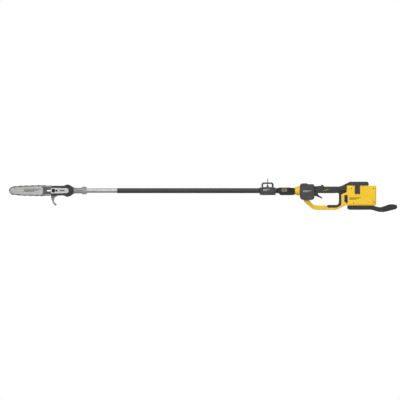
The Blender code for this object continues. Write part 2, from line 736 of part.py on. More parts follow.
def make_head_drive(boom, head_shaft, spindle):
    tube = cylinder("X", (0, 0), (SPINDLE_X + 0.0205, DRIVE_TUBE_REAR), DRIVE_TUBE_RADIUS)
    square = DRIVE_BAR / 2 + GAP
    cut(tube, box((SPINDLE_X - 0.02, DRIVE_TUBE_REAR + 0.02), (-square, square), (-square, square)))
    part(tube, "drive_shaft_front", "bright_steel", head_shaft)

    bearing = sleeve(
        "X",
        (0, 0),
        (SPINDLE_X + 0.0262, SPINDLE_X + 0.0340),
        PINION_BEARING_RADIUS,
        DRIVE_TUBE_RADIUS + GAP,
    )
    part(bearing, "pinion_bearing", "bright_steel", boom)
    bearing = sleeve(
        "Y",
        (SPINDLE_X, 0),
        (GEAR_CAVITY_FLOOR - 0.0034, GEAR_CAVITY_FLOOR),
        SPINDLE_BEARING_RADIUS,
        SPINDLE_RADIUS + GAP,
    )
    part(bearing, "spindle_bearing", "bright_steel", boom)

    shaft = cylinder("Y", (SPINDLE_X, 0), (-0.0370, 0.0282), SPINDLE_RADIUS)
    part(shaft, "sprocket_spindle", "bright_steel", spindle)
    sprocket = plate(
        toothed(SPROCKET_TEETH, SPROCKET_PATH - 0.0050, SPROCKET_PATH - TOOTH_GAP, 0.22),
        (BAR_LEFT, BAR_RIGHT - GAP),
        centre=(SPINDLE_X, 0),
    )
    join(sprocket, cylinder("Y", (SPINDLE_X, 0), (BAR_LEFT - 0.004, BAR_LEFT + 0.001), 0.011))
    cut(sprocket, cylinder("Y", (SPINDLE_X, 0), (-0.05, 0), SPINDLE_RADIUS + GAP))
    part(sprocket, "drive_sprocket", "dark_steel", spindle)
    make_gears(head_shaft, spindle)


def make_bar(boom, bar_unit, nose):
    outline = belt((*BAR_CIRCLES, (TAIL_X, TAIL_RADIUS)))
    slot = belt([(STUD_X - 0.0354, BAR_SLOT), (SPINDLE_X - 0.0475 - BAR_SLOT, BAR_SLOT + WELD)])
    pin_hole = circle(PIN_RADIUS + GAP, (SLIDER_X, SLIDER_Z))
    bar = plate(outline, (BAR_LEFT, BAR_RIGHT), holes=(slot, pin_hole))
    pocket_half = 0.00095
    pocket_y = (BAR_Y - pocket_half, BAR_Y + pocket_half)
    cut(bar, sleeve("Y", (NOSE_X, 0), pocket_y, NOSE_PATH + 0.001, 0.005, FINE_SIDES))
    part(bar, "guide_bar", "bright_steel", bar_unit)

    star_y = (pocket_y[0] + GAP, pocket_y[1] - GAP)
    star = plate(
        toothed(NOSE_TEETH, NOSE_PATH - 0.0045, NOSE_PATH - TOOTH_GAP, 0.2),
        star_y,
        holes=(circle(0.005 + 0.0006),),
        centre=(NOSE_X, 0),
    )
    part(star, "nose_sprocket", "dark_steel", nose)

    slider = box(
        (SLIDER_X - 0.008, SLIDER_X + 0.008),
        (PAD_LEFT + GAP, PAD_LEFT + 0.0063),
        (SLIDER_Z - 0.003, SLIDER_Z + 0.003),
    )
    join(slider, cylinder("Y", (SLIDER_X, SLIDER_Z), (BAR_LEFT + 0.0002, PAD_LEFT + 0.002), PIN_RADIUS))
    part(slider, "tension_slider", "bright_steel", bar_unit)

    path = belt(CHAIN_PATH)
    pitch = length_of(path) / CHAIN_LINKS
    base, cutter = 0.0072, 0.0098
    outer = []
    for link in range(CHAIN_LINKS):
        steps = ((0.0, base),)
        if link % 4 == 0:
            steps = ((0.05, base), (0.15, cutter), (0.85, cutter - 0.0012), (0.95, base))
        for place, height in steps:
            point, outward = along(path, (link + place) * pitch)
            outer.append(tuple(point + outward * height))
    chain_y = (BAR_Y - CHAIN_WIDTH / 2, BAR_Y + CHAIN_WIDTH / 2)
    chain = plate(outer, chain_y, holes=(belt(CHAIN_PATH, CHAIN_CLEARANCE),))
    part(chain, "saw_chain", "dark_steel", boom)


def make_bar_cover(boom):
    """The black chain cover, its bright wear plate and the nut and screw that go through them."""
    dome_radius = 0.0375
    dome_y = (COVER_FACE - 0.002, HUB_LEFT - 0.002)
    cover = cylinder("Y", (SPINDLE_X, 0), dome_y, dome_radius, sides=FINE_SIDES)
    bevel(cover, 0.003)
    strip_front = SPINDLE_X - 0.1005
    strip = bevel(box((strip_front, SPINDLE_X), (COVER_FACE, COVER_FACE + 0.003), (-0.030, 0.030)), 0.001)
    boss_x = (strip_front + 0.001, SPINDLE_X - 0.0375)
    boss = box(boss_x, (COVER_FACE + 0.002, BAR_LEFT - GAP), (-0.0165, 0.0165))
    ends = [
        cylinder("Y", (SPINDLE_X - 0.003, z), (COVER_FACE, HUB_LEFT - 0.002), 0.005)
        for z in (0.0035 - dome_radius, dome_radius - 0.0035)
    ]
    join(cover, strip, *ends)
    cut(
        cover,
        cylinder("Y", (SPINDLE_X, 0), (COVER_FACE + 0.003, 0), dome_radius - WALL, sides=FINE_SIDES),
        box((SPINDLE_X - 0.15, SPINDLE_X), (COVER_FACE + 0.003, 0), (-0.05, 0.05)),
    )
    join(cover, boss)
    cut(
        cover,
        box((PAD_FRONT - 0.01, SPINDLE_X + 0.0068), (-0.06, COVER_FACE + 0.0002), (-0.0188, 0.0188)),
        cylinder("Y", (STUD_X, 0), (-0.06, 0), STUD_RADIUS + GAP),
        cylinder("Y", (SCREW_X, 0), (-0.06, 0), SCREW_SHANK + GAP),
    )
    part(cover, "sprocket_cover", "black_plastic", boom)

    rear = SPINDLE_X + 0.0055
    corners = [
        (PAD_FRONT, -0.0180, 0.003),
        (rear, -0.0150, 0.0138),
        (rear, 0.0150, 0.0138),
        (PAD_FRONT, 0.0180, 0.003),
    ]
    slot_x = SPINDLE_X - 0.0327
    slot = belt([(slot_x - 0.0125, 0.00325), (slot_x + 0.0125, 0.00325 + WELD)])
    wear = plate(
        rounded(corners),
        (PLATE_FACE, COVER_FACE - GAP),
        holes=(circle(0.0118, (STUD_X, 0)), circle(0.0062, (SCREW_X, 0), 16), slot),
    )
    part(wear, "cover_plate", "bright_steel", boom)

    stud = cylinder("Y", (STUD_X, 0), (-0.0525, PAD_RIGHT), STUD_RADIUS)
    part(stud, "bar_stud", "bright_steel", boom)
    nut = cylinder("Y", (STUD_X, 0), (-0.0515, COVER_FACE - GAP), 0.0108, sides=6)
    cut(nut, cylinder("Y", (STUD_X, 0), (-0.06, 0), STUD_RADIUS + GAP))
    part(nut, "bar_nut", "dark_steel", boom)


def make_tension_screw(screw):
    head = cylinder("Y", (SCREW_X, 0), (-0.0490, COVER_FACE - GAP), 0.0055)
    join(head, cylinder("Y", (SCREW_X, 0), (COVER_FACE - 0.001, -0.0196), SCREW_SHANK))
    cut(head, box((SCREW_X - 0.0045, SCREW_X + 0.0045), (-0.06, -0.0478), (-0.0007, 0.0007)))
    part(head, "tension_screw", "dark_steel", screw)


def make_oiler(boom, cap_pivot):
    """The oil tank behind the bar pad, its cap and the pump on the spindle's end."""
    front, rear = PAD_FRONT + 0.003, SPINDLE_X - HUB_RADIUS - 0.0035
    left, right, half = PAD_RIGHT + 0.0036, 0.028, 0.030
    middle = (front + rear) / 2
    tank = bevel(box((front, rear), (left, right), (-half, half)), 0.004)
    cut(
        tank,
        box((front + WALL, rear - WALL), (left + WALL, right - WALL), (WALL - half, half - WALL)),
        cylinder("Y", (middle, 0), (right - 0.01, right + 0.01), 0.009),
    )
    part(tank, "oil_tank", "black_plastic", boom)
    cap = cylinder("Y", (middle, 0), (right + GAP, 0.040), 0.013)
    bevel(cap, 0.0015)
    join(cap, cylinder("Y", (middle, 0), (right - 0.002, right + 0.004), 0.009 - GAP))
    join(cap, bevel(box((middle - 0.011, middle + 0.011), (0.038, 0.044), (-0.0025, 0.0025)), 0.001))
    part(cap, "oil_cap", "yellow_plastic", cap_pivot)

    pump_front = HUB_RIGHT + 0.0043 + GAP
    pump = cylinder("Y", (SPINDLE_X, 0), (pump_front, 0.040), 0.011)
    bevel(pump, 0.001)
    cut(pump, cylinder("Y", (SPINDLE_X, 0), (0, 0.0285), SPINDLE_RADIUS + GAP))
    part(pump, "oil_pump", "dark_steel", boom)


def make_hook(boom):
    """The steel hook under the head, clamped between the bar pad and the oil tank."""
    root = PAD_FRONT + 0.001
    corners = [
        (root, 0.020, 0.003),
        (root, -0.040),
        (root + 0.007, -0.067, 0.06),
        (root + 0.021, -0.089, 0.03),
        (root + 0.0284, -0.0930, 0.002),
        (root + 0.0363, -0.0850, 0.003),
        (root + 0.0206, -0.0710, 0.010),
        (root + 0.0170, -0.0595, 0.020),
        (root + 0.0245, -0.0400, 0.02),
        (root + 0.060, -0.022, 0.01),
        (root + 0.060, 0.020, 0.003),
    ]
    hook_y = (PAD_RIGHT + GAP, PAD_RIGHT + 0.0033)
    hook = plate(rounded(corners), hook_y)
    bevel(hook, 0.0006, 1)
    part(hook, "branch_hook", "bright_steel", boom)


# ---------------------------------------------------------------- power unit
def make_grip():
    top, bottom = TUBE_RADIUS + 0.0058, -TUBE_RADIUS - 0.0143
    corners = [
        (GRIP_FRONT, -TUBE_RADIUS),
        (GRIP_FRONT + 0.0068, -TUBE_RADIUS - 0.0008, 0.01),
        (GRIP_FRONT + 0.0176, bottom, 0.012),
        (GRIP_REAR - 0.0240, bottom, 0.03),
        (GRIP_REAR + 0.0100, bottom + 0.0030),
        (GRIP_REAR + 0.0100, top - 0.0045),
        (GRIP_REAR - 0.0367, top, 0.04),
        (GRIP_FRONT + 0.0136, top, 0.04),
        (GRIP_FRONT, top - 0.0040),
    ]
    grip = soft_plate(corners, GRIP_HALF, 0.0065)
    neck = cylinder("X", (0, 0), (GRIP_FRONT - NECK_LENGTH, GRIP_FRONT + 0.01), TUBE_RADIUS + 0.0022)
    join(grip, neck)
    bore = cylinder("X", (0, 0), (GRIP_FRONT - 0.03, GRIP_REAR + 0.02), SLIDING_FIT, sides=FINE_SIDES)
    cut(grip, beyond(GRIP_REAR), bore)
    part(grip, "front_grip", "grip_rubber")


def make_collar():
    shoulder = INNER_POLE_REAR + GAP
    collar = turned(
        [
            (TUBE_RADIUS + 0.0160, COLLAR_REAR),
            (TUBE_RADIUS + 0.0125, COLLAR_FRONT + 0.0120),
            (TUBE_RADIUS + 0.0072, COLLAR_FRONT),
            (SLIDING_FIT, COLLAR_FRONT),
            (SLIDING_FIT, shoulder),
            (COUPLING_RADIUS + 0.001, shoulder),
            (COUPLING_RADIUS + 0.001, COLLAR_REAR),
        ],
        "X",
        sides=FINE_SIDES,
    )
    lug_x = (COLLAR_FRONT + 0.0080, COLLAR_FRONT + 0.0205)
    join(collar, bevel(box(lug_x, (-0.0080, 0.0080), (-TUBE_RADIUS - 0.0150, -TUBE_RADIUS - 0.0040)), 0.002))
    part(collar, "pole_collar", "yellow_plastic")


def make_motor(motor_shaft):
    front_plate = (MOTOR_FRONT + 0.0142, MOTOR_FRONT + 0.0202)
    stator = (front_plate[1] + 0.0005, MOTOR_FRONT + 0.0567)
    rear_plate = (stator[1] + 0.0005, stator[1] + 0.0065)
    step_x = MOTOR_FRONT + MOTOR_LENGTH / 2
    spigot_y, spigot_z = SPIGOT
    for side, label in SIDE_NAMES:
        corners = [
            (MOTOR_FRONT, MOTOR_BOTTOM, 0.022),
            (MOTOR_REAR, MOTOR_BOTTOM, 0.018),
            (MOTOR_REAR, MOTOR_TOP - 0.0050, 0.012),
            (step_x + 0.0050, MOTOR_TOP - 0.0050, 0.003),
            (step_x, MOTOR_TOP, 0.004),
            (MOTOR_FRONT, MOTOR_TOP, 0.018),
        ]
        housing = shell((corners, MOTOR_HALF, 0.010))
        cut(
            housing,
            cylinder("X", (0, 0), (MOTOR_FRONT - 0.01, MOTOR_FRONT + 0.01), SHAFT_RADIUS + 0.002),
            box(
                (MOTOR_REAR - 0.01, MOTOR_REAR + 0.01),
                (spigot_y[0] - GAP, spigot_y[1] + GAP),
                (spigot_z[0] - GAP, spigot_z[1] + GAP),
            ),
            *[
                box((x, x + 0.003), (-0.020, 0.020), (MOTOR_TOP - 0.02, MOTOR_TOP + 0.01))
                for x in (MOTOR_REAR - 0.019 - 0.006 * i for i in range(4))
            ],
        )
        keep_side(housing, side)
        part(housing, f"motor_housing_{label}", "black_plastic")

    for span, label in ((front_plate, "front"), (rear_plate, "rear")):
        disc = sleeve("X", (0, 0), span, STATOR_RADIUS + 0.0015, BEARING_RADIUS + GAP, FINE_SIDES)
        part(disc, f"motor_{label}_plate", "cast_aluminium")
        bearing = sleeve("X", (0, 0), span, BEARING_RADIUS, SHAFT_RADIUS + GAP)
        part(bearing, f"motor_bearing_{label}", "bright_steel")

    core = sleeve("X", (0, 0), stator, STATOR_RADIUS, ROTOR_RADIUS + 0.0015, FINE_SIDES)
    cut(
        core,
        *[
            cylinder("X", slot, (stator[0] - 0.01, stator[1] + 0.01), 0.0028, sides=8)
            for slot in circle(ROTOR_RADIUS + 0.0015, sides=9)
        ],
    )
    part(core, "motor_stator", "copper_winding")

    rotor = cylinder("X", (0, 0), (stator[0] + 0.001, stator[1] - 0.001), ROTOR_RADIUS)
    shaft_rear = MOTOR_REAR - 0.0083
    join(rotor, cylinder("X", (0, 0), (COLLAR_FRONT + 0.0015, shaft_rear), SHAFT_RADIUS))
    part(rotor, "motor_rotor", "dark_steel", motor_shaft)

    fan_x = (rear_plate[1] + 0.0035, rear_plate[1] + 0.0135)
    fan = cylinder("X", (0, 0), (fan_x[0], fan_x[0] + 0.0025), FAN_RADIUS)
    blades = [box(fan_x, (-0.0009, 0.0009), (0.006, FAN_RADIUS - 0.001)) for _ in range(7)]
    for index, blade in enumerate(blades):
        blade.data.transform(Matrix.Translation((0, 0, blade.location.z)))
        blade.location.z = 0
        blade.rotation_euler = (2 * pi * index / len(blades), 0, 0)
    join(fan, cylinder("X", (0, 0), fan_x, 0.009), *blades)
    cut(fan, cylinder("X", (0, 0), (fan_x[0] - 0.01, fan_x[1] + 0.01), SHAFT_RADIUS + GAP))
    part(fan, "motor_fan", "black_plastic", motor_shaft)

    coupling_rear = INNER_POLE_REAR - 0.006
    coupling_front = COLLAR_FRONT - 0.013
    half = DRIVE_BAR / 2
    shaft = box((DRIVE_BAR_FRONT, coupling_front + 0.004), (-half, half), (-half, half))
    join(shaft, cylinder("X", (0, 0), (coupling_front, coupling_rear), COUPLING_RADIUS))
    cut(shaft, cylinder("X", (0, 0), (COLLAR_FRONT + 0.0010, coupling_rear + 0.01), SHAFT_RADIUS + GAP))
    part(shaft, "drive_shaft_rear", "bright_steel", motor_shaft)


def handle_bodies():
    """(corners, half width, bevel) of the grip, the switch block, the rear column and its wide top.

    The block and the top run on past their joints with the motor and the bumper, and are cut there.
    """
    block_front = HANDLE_FRONT - 0.0060
    block_rear = HANDLE_FRONT + 0.0594
    throat = HANDLE_FRONT + 0.0214
    column_top = HOUSING_TOP + 2 * GAP
    crest = BUMPER_FRONT - 0.0110
    grip = [
        (throat, HANDLE_UNDER),
        (HANDLE_REAR - 0.020, HANDLE_UNDER),
        (HANDLE_REAR - 0.020, HANDLE_TOP),
        (throat, HANDLE_TOP),
    ]
    block = [
        (block_front, TRIGGER_Z - 0.0075),
        (throat, TRIGGER_Z - 0.0075),
        (throat, HANDLE_UNDER + 0.0004),
        (block_rear, HANDLE_UNDER + 0.0004),
        (block_rear, HANDLE_TOP + 0.0060),
        (block_front, HANDLE_TOP + 0.0015),
    ]
    column = [
        (COLUMN_FRONT - 0.0200, HANDLE_UNDER + 0.0006),
        (COLUMN_FRONT, HANDLE_UNDER + 0.0006, 0.0100),
        (COLUMN_FRONT, FOOT_TOP, 0.0180),
        (FOOT_FRONT, FOOT_TOP),
        (FOOT_FRONT, FOOT_BOTTOM),
        (COLUMN_REAR - 0.0304, FOOT_BOTTOM),
        (COLUMN_REAR, FOOT_BOTTOM + 0.0145),
        (COLUMN_REAR, -0.0225),
        (HANDLE_REAR, -0.0095),
        (HANDLE_REAR, HANDLE_TOP - 0.0010),
        (COLUMN_FRONT - 0.0200, HANDLE_TOP - 0.0010),
    ]
    top = [
        (COLUMN_REAR - 0.0140, HANDLE_TOP - 0.0280),
        (HANDLE_REAR, HANDLE_TOP - 0.0280),
        (HANDLE_REAR, column_top),
        (BUMPER_FRONT + 0.0100, column_top),
        (BUMPER_FRONT + 0.0100, BUMPER_TOP),
        (crest, BUMPER_TOP, 0.012),
        (COLUMN_REAR, HANDLE_TOP + 0.0035, 0.04),
        (COLUMN_REAR - 0.0140, HANDLE_TOP + 0.0004),
    ]
    return (
        (grip, HANDLE_HALF, 0.008),
        (block, HANDLE_HALF + 0.0010, 0.005),
        (column, HANDLE_HALF - 0.0006, 0.006),
        (top, 0.034, 0.005),
    )


def make_handle(trigger_pivot, button_slide):
    spigot_y, spigot_z = SPIGOT
    for side, label in SIDE_NAMES:
        handle = shell(*handle_bodies())
        cut(handle, before(HANDLE_FRONT), box((BUMPER_FRONT, 0), (-0.1, 0.1), (0, 0.1)))
        wall = box(
            (HANDLE_FRONT, HANDLE_FRONT + WALL),
            (0.0020 - HANDLE_HALF, HANDLE_HALF - 0.0020),
            (TRIGGER_Z - 0.0060, HANDLE_TOP - 0.0005),
        )
        spigot = box((MOTOR_REAR - 0.0022, HANDLE_FRONT + 0.001), spigot_y, spigot_z)
        join(handle, wall, spigot)
        cut(
            handle,
            box(
                (TRIGGER_X - 0.0070, HANDLE_FRONT + 0.0394),
                (-0.0092, 0.0092),
                (TRIGGER_Z - 0.020, HANDLE_UNDER + 0.0045),
            ),
            cylinder("Y", (TRIGGER_X, TRIGGER_Z), (-0.0174, 0.0174), PIN_RADIUS + GAP),
            box((BUTTON_X - 0.0069, BUTTON_X + 0.0069), (-0.0075, 0.0075), (HANDLE_TOP - 0.004, 0.05)),
            cylinder("X", (HARNESS_Y, HARNESS_Z), (HANDLE_FRONT - 0.01, HANDLE_FRONT + 0.01), CABLE_HOLE),
            cylinder("X", (HARNESS_Y, HARNESS_Z), (HANDLE_REAR - 0.03, HANDLE_REAR + 0.01), CABLE_HOLE),
        )
        keep_side(handle, side)
        part(handle, f"handle_shell_{label}", "black_plastic")

    tip = (TRIGGER_X + 0.0365, TRIGGER_Z - 0.0220)
    corners = [
        (TRIGGER_X - 0.0040, TRIGGER_Z + 0.0055, 0.002),
        (TRIGGER_X - 0.0060, TRIGGER_Z - 0.0020, 0.003),
        (TRIGGER_X - 0.0030, TRIGGER_Z - 0.0075, 0.003),
        (TRIGGER_X + 0.0180, TRIGGER_Z - 0.0150, 0.03),
        (tip[0] - 0.0040, tip[1] - 0.0020, 0.003),
        (tip[0] + 0.0010, tip[1] + 0.0050, 0.003),
        (TRIGGER_X + 0.0190, TRIGGER_Z - 0.0045, 0.03),
        (TRIGGER_X + 0.0080, TRIGGER_Z + 0.0055, 0.004),
    ]
    trigger = plate(rounded(corners), (-0.008, 0.008))
    join(trigger, cylinder("Y", (TRIGGER_X, TRIGGER_Z), (-0.0168, 0.0168), PIN_RADIUS))
    part(trigger, "trigger", "black_plastic", trigger_pivot)

    cap_x, cap_z = (BUTTON_X - 0.0065, BUTTON_X + 0.0065), (HANDLE_TOP - 0.0055, HANDLE_TOP + 0.0110)
    stop_x, stop_z = (BUTTON_X - 0.0085, BUTTON_X + 0.0085), (HANDLE_TOP - 0.0030, HANDLE_TOP + 0.0012)
    button = bevel(box(cap_x, (-0.007, 0.007), cap_z), 0.0012)
    join(button, box(stop_x, (-0.0095, 0.0095), stop_z))
    part(button, "lock_off_button", "black_plastic", button_slide)

    module_top = HANDLE_TOP - 0.0055 - BUTTON_TRAVEL - 0.0005
    module = bevel(
        box((HANDLE_FRONT + 0.0144, HANDLE_FRONT + 0.0444), (-0.0105, 0.0055), (-0.008, module_top)),
        0.0008,
        1,
    )
    part(module, "switch_module", "black_plastic")


def make_guard():
    front = MOTOR_FRONT + 0.0231
    top = MOTOR_BOTTOM - GAP
    corners = [
        (front + 0.0380, top),
        (front + 0.0455, -0.0740, 0.03),
        (front + 0.0640, -0.0890, 0.03),
        (front + 0.0950, -0.0920, 0.05),
        (FOOT_FRONT - GAP, FOOT_TOP - 0.0030),
        (FOOT_FRONT - GAP, FOOT_BOTTOM - GAP),
        (COLUMN_REAR - 0.0304, FOOT_BOTTOM - GAP),
        (COLUMN_REAR, FOOT_BOTTOM + 0.0145 - GAP),
        (COLUMN_REAR, FOOT_BOTTOM + 0.0005),
        (COLUMN_REAR - 0.0351, -0.1187, 0.03),
        (front + 0.0610, -0.1187, 0.05),
        (front + 0.0040, -0.0700, 0.03),
        (front, top),
    ]
    guard = soft_plate(corners, 0.014, 0.003)
    part(guard, "guard_loop", "yellow_plastic")


def vent_corners():
    front = COLUMN_REAR + 0.0184
    return [
        (front, -0.067),
        (front + 0.0132, -0.0787),
        (front + 0.0222, -0.0780),
        (front + 0.0202, -0.0245),
        (front, -0.0280),
    ]


def make_rear_housing():
    foot = FOOT_BOTTOM + 0.0008
    for side, label in SIDE_NAMES:
        corners = [
            (COLUMN_REAR + 0.0008, foot),
            (HOUSING_FRONT - 0.0092, HOUSING_BOTTOM),
            (0, HOUSING_BOTTOM),
            (0, HOUSING_TOP),
            (HOUSING_FRONT, HOUSING_TOP),
            (HOUSING_FRONT, -0.0095),
            (COLUMN_REAR + 0.0008, -0.0228),
        ]
        housing = shell((corners, HOUSING_HALF, 0.006))
        window = plate(rounded(inset(vent_corners(), -GAP)), (-0.06, 0.06))
        cut(
            housing,
            box((-0.01, 0.01), (-DOCK_HALF - GAP, DOCK_HALF + GAP), (DOCK_BOTTOM - GAP, DOCK_TOP + GAP)),
            window,
            cylinder("X", (HARNESS_Y, HARNESS_Z), (HOUSING_FRONT - 0.01, HOUSING_FRONT + 0.01), CABLE_HOLE),
        )
        keep_side(housing, side)
        part(housing, f"rear_housing_{label}", "yellow_plastic")

    vent = plate(vent_corners(), (-HOUSING_HALF, HOUSING_HALF))
    core_half = HOUSING_HALF - WALL - 0.001
    front, rear = COLUMN_REAR + 0.01, HOUSING_FRONT + 0.03
    cut(
        vent,
        box((front, rear), (-core_half, core_half), (-0.09, -0.056)),
        box((front, rear), (-core_half, core_half), (-0.044, -0.01)),
    )
    slot_x = (COLUMN_REAR + 0.0210, HOUSING_FRONT + 0.0045)
    for side, first in ((LEFT, -0.0345), (RIGHT, -0.0380)):
        slot_y = sorted((side * (core_half - 0.002), side * (HOUSING_HALF + 0.01)))
        slots_z = [first - VENT_PITCH * i for i in range(5)]
        cut(vent, *[box(slot_x, slot_y, (z, z + 0.0033)) for z in slots_z])
    part(vent, "vent_insert", "black_plastic")

    board = bevel(box((-0.150, -0.070), (-0.030, 0.030), (-0.060, 0.010)), 0.002, 1)
    fins_y = [-0.028 + 0.0106 * i for i in range(6)]
    join(board, *[box((-0.145, -0.075), (y, y + 0.003), (0.008, 0.020)) for y in fins_y])
    part(board, "controller_module", "circuit")

    dock = box((-0.006, 0), (-DOCK_HALF, DOCK_HALF), (DOCK_BOTTOM, DOCK_TOP))
    flange = 0.0015
    join(
        dock,
        box(
            (-0.0083, -WALL - GAP),
            (-DOCK_HALF - flange, DOCK_HALF + flange),
            (DOCK_BOTTOM - flange, DOCK_TOP + flange),
        ),
    )
    terminal_z = (-0.058, -0.034)
    cut(
        dock,
        *[box((-0.0045, 0.01), (y - 0.0025, y + 0.0025), (-0.072, 0.01)) for y in (-0.030, 0.030)],
        box((-0.0055, 0.01), (-0.018, 0.018), terminal_z),
    )
    join(dock, *[box((-0.0065, -0.0008), (y - 0.0008, y + 0.0008), terminal_z) for y in TERMINALS_Y])
    part(dock, "battery_dock", "black_plastic")


def make_harness():
    """The motor's cable, from the controller through the handle to the corner beside the stator."""
    start, end = -0.1503, MOTOR_FRONT + 0.0400
    bend = MOTOR_REAR - 0.0075
    corner_y, corner_z = 0.0350, 0.0300
    points = [(start, HARNESS_Y, HARNESS_Z), (bend + 0.006, HARNESS_Y, HARNESS_Z)]
    points.append((bend + 0.002, HARNESS_Y + 0.0012, HARNESS_Z + 0.001))
    points.append((bend, HARNESS_Y + 0.0050, HARNESS_Z + 0.004))
    points.append((bend, corner_y - 0.0060, corner_z - 0.005))
    points.append((bend - 0.002, corner_y - 0.0012, corner_z - 0.001))
    points.append((bend - 0.006, corner_y, corner_z))
    points.append((end, corner_y, corner_z))
    part(wire(points, HARNESS_RADIUS), "wire_harness", "black_plastic")


def make_bumper_and_skid():
    bottom = HOUSING_TOP + 2 * GAP
    front = BUMPER_FRONT + GAP
    rear = front + 0.1040
    corners = [
        (front - 0.0100, bottom),
        (rear, bottom, 0.006),
        (rear, BUMPER_TOP, 0.014),
        (front - 0.0100, BUMPER_TOP),
    ]
    bumper = cut(soft_plate(corners, 0.050, 0.005), before(front))
    tab_y = HOUSING_HALF + GAP
    tab_x = (front + 0.0179, front + 0.0497)
    for y in ((-0.0498, -tab_y), (tab_y, 0.0498)):
        join(bumper, bevel(box(tab_x, y, (-0.020, bottom + 0.008)), 0.001))
    part(bumper, "top_bumper", "black_plastic")

    top = HOUSING_BOTTOM - GAP
    front = HOUSING_FRONT + 0.0014
    corners = [
        (front, top, 0.008),
        (front + 0.0020, SKID_BOTTOM, 0.014),
        (-0.0260, SKID_BOTTOM, 0.040),
        (0.0040, -0.1275, 0.040),
        (0.0340, -0.1335, 0.060),
        (0.0660, -0.1275, 0.060),
        (0.1210, -0.1135, 0.012),
        (0.1305, -0.1040, 0.008),
        (0.1280, -0.0890, 0.010),
        (0.1040, -0.0830, 0.015),
        (0.0780, -0.0840, 0.030),
        (0.0500, -0.0950, 0.030),
        (0.0240, -0.1030, 0.030),
        (-0.0020, top - 0.0060, 0.020),
        (-0.0160, top),
    ]
    skid = soft_plate(corners, 0.040, 0.004)
    part(skid, "rear_skid", "black_plastic")


# ---------------------------------------------------------------- the saw
def make_saw():
    boom = pivot("boom_slide", (LOCK_REAR, 0, 0))
    motor_shaft = pivot("motor_axis", (MOTOR_FRONT, 0, 0))
    head_shaft = pivot("head_shaft_axis", (TUBE_FRONT, 0, 0), boom)
    spindle = pivot("spindle_axis", (SPINDLE_X, BAR_Y, 0), boom)
    bar_unit = pivot("bar_slide", (STUD_X, BAR_Y, 0), boom)
    nose = pivot("nose_axis", (NOSE_X, BAR_Y, 0), bar_unit)
    screw = pivot("tension_screw_axis", (SCREW_X, COVER_FACE, 0), boom)
    tank_middle = (PAD_FRONT + 0.003 + SPINDLE_X - HUB_RADIUS - 0.0035) / 2
    cap = pivot("oil_cap_axis", (tank_middle, 0.028, 0), boom)
    trigger = pivot("trigger_pivot", (TRIGGER_X, 0, TRIGGER_Z))
    button = pivot("lock_off_slide", (BUTTON_X, 0, HANDLE_TOP))

    make_poles(boom)
    make_lock(boom)
    make_gear_case(boom)
    make_head_drive(boom, head_shaft, spindle)
    make_bar(boom, bar_unit, nose)
    make_bar_cover(boom)
    make_tension_screw(screw)
    make_oiler(boom, cap)
    make_hook(boom)
    make_grip()
    make_collar()
    make_motor(motor_shaft)
    make_handle(trigger, button)
    make_guard()
    make_rear_housing()
    make_harness()
    make_bumper_and_skid()


clear_scene()
PARTS = new_collection("telescoping_pole_saw")
CUTTERS = new_collection("cutters")
make_saw()
bpy.context.view_layer.update()
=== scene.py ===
"""Looks of the telescoping pole saw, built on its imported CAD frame. Metres, +Z up, chain cover to -Y."""

import json
from math import acos, ceil, cos, pi, radians, sin, sqrt, tan

import bmesh
import bpy
from mathutils import Matrix, Vector


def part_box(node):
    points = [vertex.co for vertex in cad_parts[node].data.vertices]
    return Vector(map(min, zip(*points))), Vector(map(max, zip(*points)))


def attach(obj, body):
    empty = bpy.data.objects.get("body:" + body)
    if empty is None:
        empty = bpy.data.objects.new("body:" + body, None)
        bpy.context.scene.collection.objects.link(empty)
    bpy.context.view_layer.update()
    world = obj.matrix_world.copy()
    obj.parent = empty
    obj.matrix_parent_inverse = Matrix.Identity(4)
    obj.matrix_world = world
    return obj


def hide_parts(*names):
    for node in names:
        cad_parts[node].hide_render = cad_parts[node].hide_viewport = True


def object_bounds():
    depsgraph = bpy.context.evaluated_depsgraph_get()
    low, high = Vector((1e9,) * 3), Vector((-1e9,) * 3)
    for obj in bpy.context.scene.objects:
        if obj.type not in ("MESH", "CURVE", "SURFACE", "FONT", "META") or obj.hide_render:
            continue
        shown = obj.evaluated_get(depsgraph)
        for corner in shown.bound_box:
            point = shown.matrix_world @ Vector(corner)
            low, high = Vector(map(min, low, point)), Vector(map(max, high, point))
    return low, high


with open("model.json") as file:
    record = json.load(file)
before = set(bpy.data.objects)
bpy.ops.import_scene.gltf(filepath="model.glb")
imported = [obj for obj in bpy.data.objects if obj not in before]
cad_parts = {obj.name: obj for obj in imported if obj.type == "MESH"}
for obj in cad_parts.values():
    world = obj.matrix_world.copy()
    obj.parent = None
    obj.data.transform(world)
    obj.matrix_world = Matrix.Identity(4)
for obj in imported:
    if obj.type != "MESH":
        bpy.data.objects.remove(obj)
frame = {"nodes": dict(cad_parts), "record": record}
cad_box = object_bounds()
NODES = frame["nodes"]


def middle(node):
    """The middle of a CAD node's box."""
    low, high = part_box(node)
    return (Vector(low) + Vector(high)) / 2


SPINDLE, NOSE = middle("sprocket_spindle"), middle("nose_sprocket")
# The bar's outline is a belt round these circles, given as (x, radius).
BULGE_X = SPINDLE.x - 0.1625
BAR_CIRCLES = ((NOSE.x, 0.0180), (NOSE.x + 0.0475, 0.0228), (BULGE_X, 0.0262), (SPINDLE.x, 0.0176))
CHAIN_LINKS = 88
RIVET_LINE = 0.0039
TAIL_LENGTH = 0.114
NECK_RADIUS = 0.0172
HANDLE_HALF, HANDLE_UNDER = 0.018, -0.0145
SOLE_OVER_LOWEST = 0.0139
VIEW_WIDTH = 2.46
VIEW_CENTRE_X, VIEW_CENTRE_Z = -1.0836, -0.0575


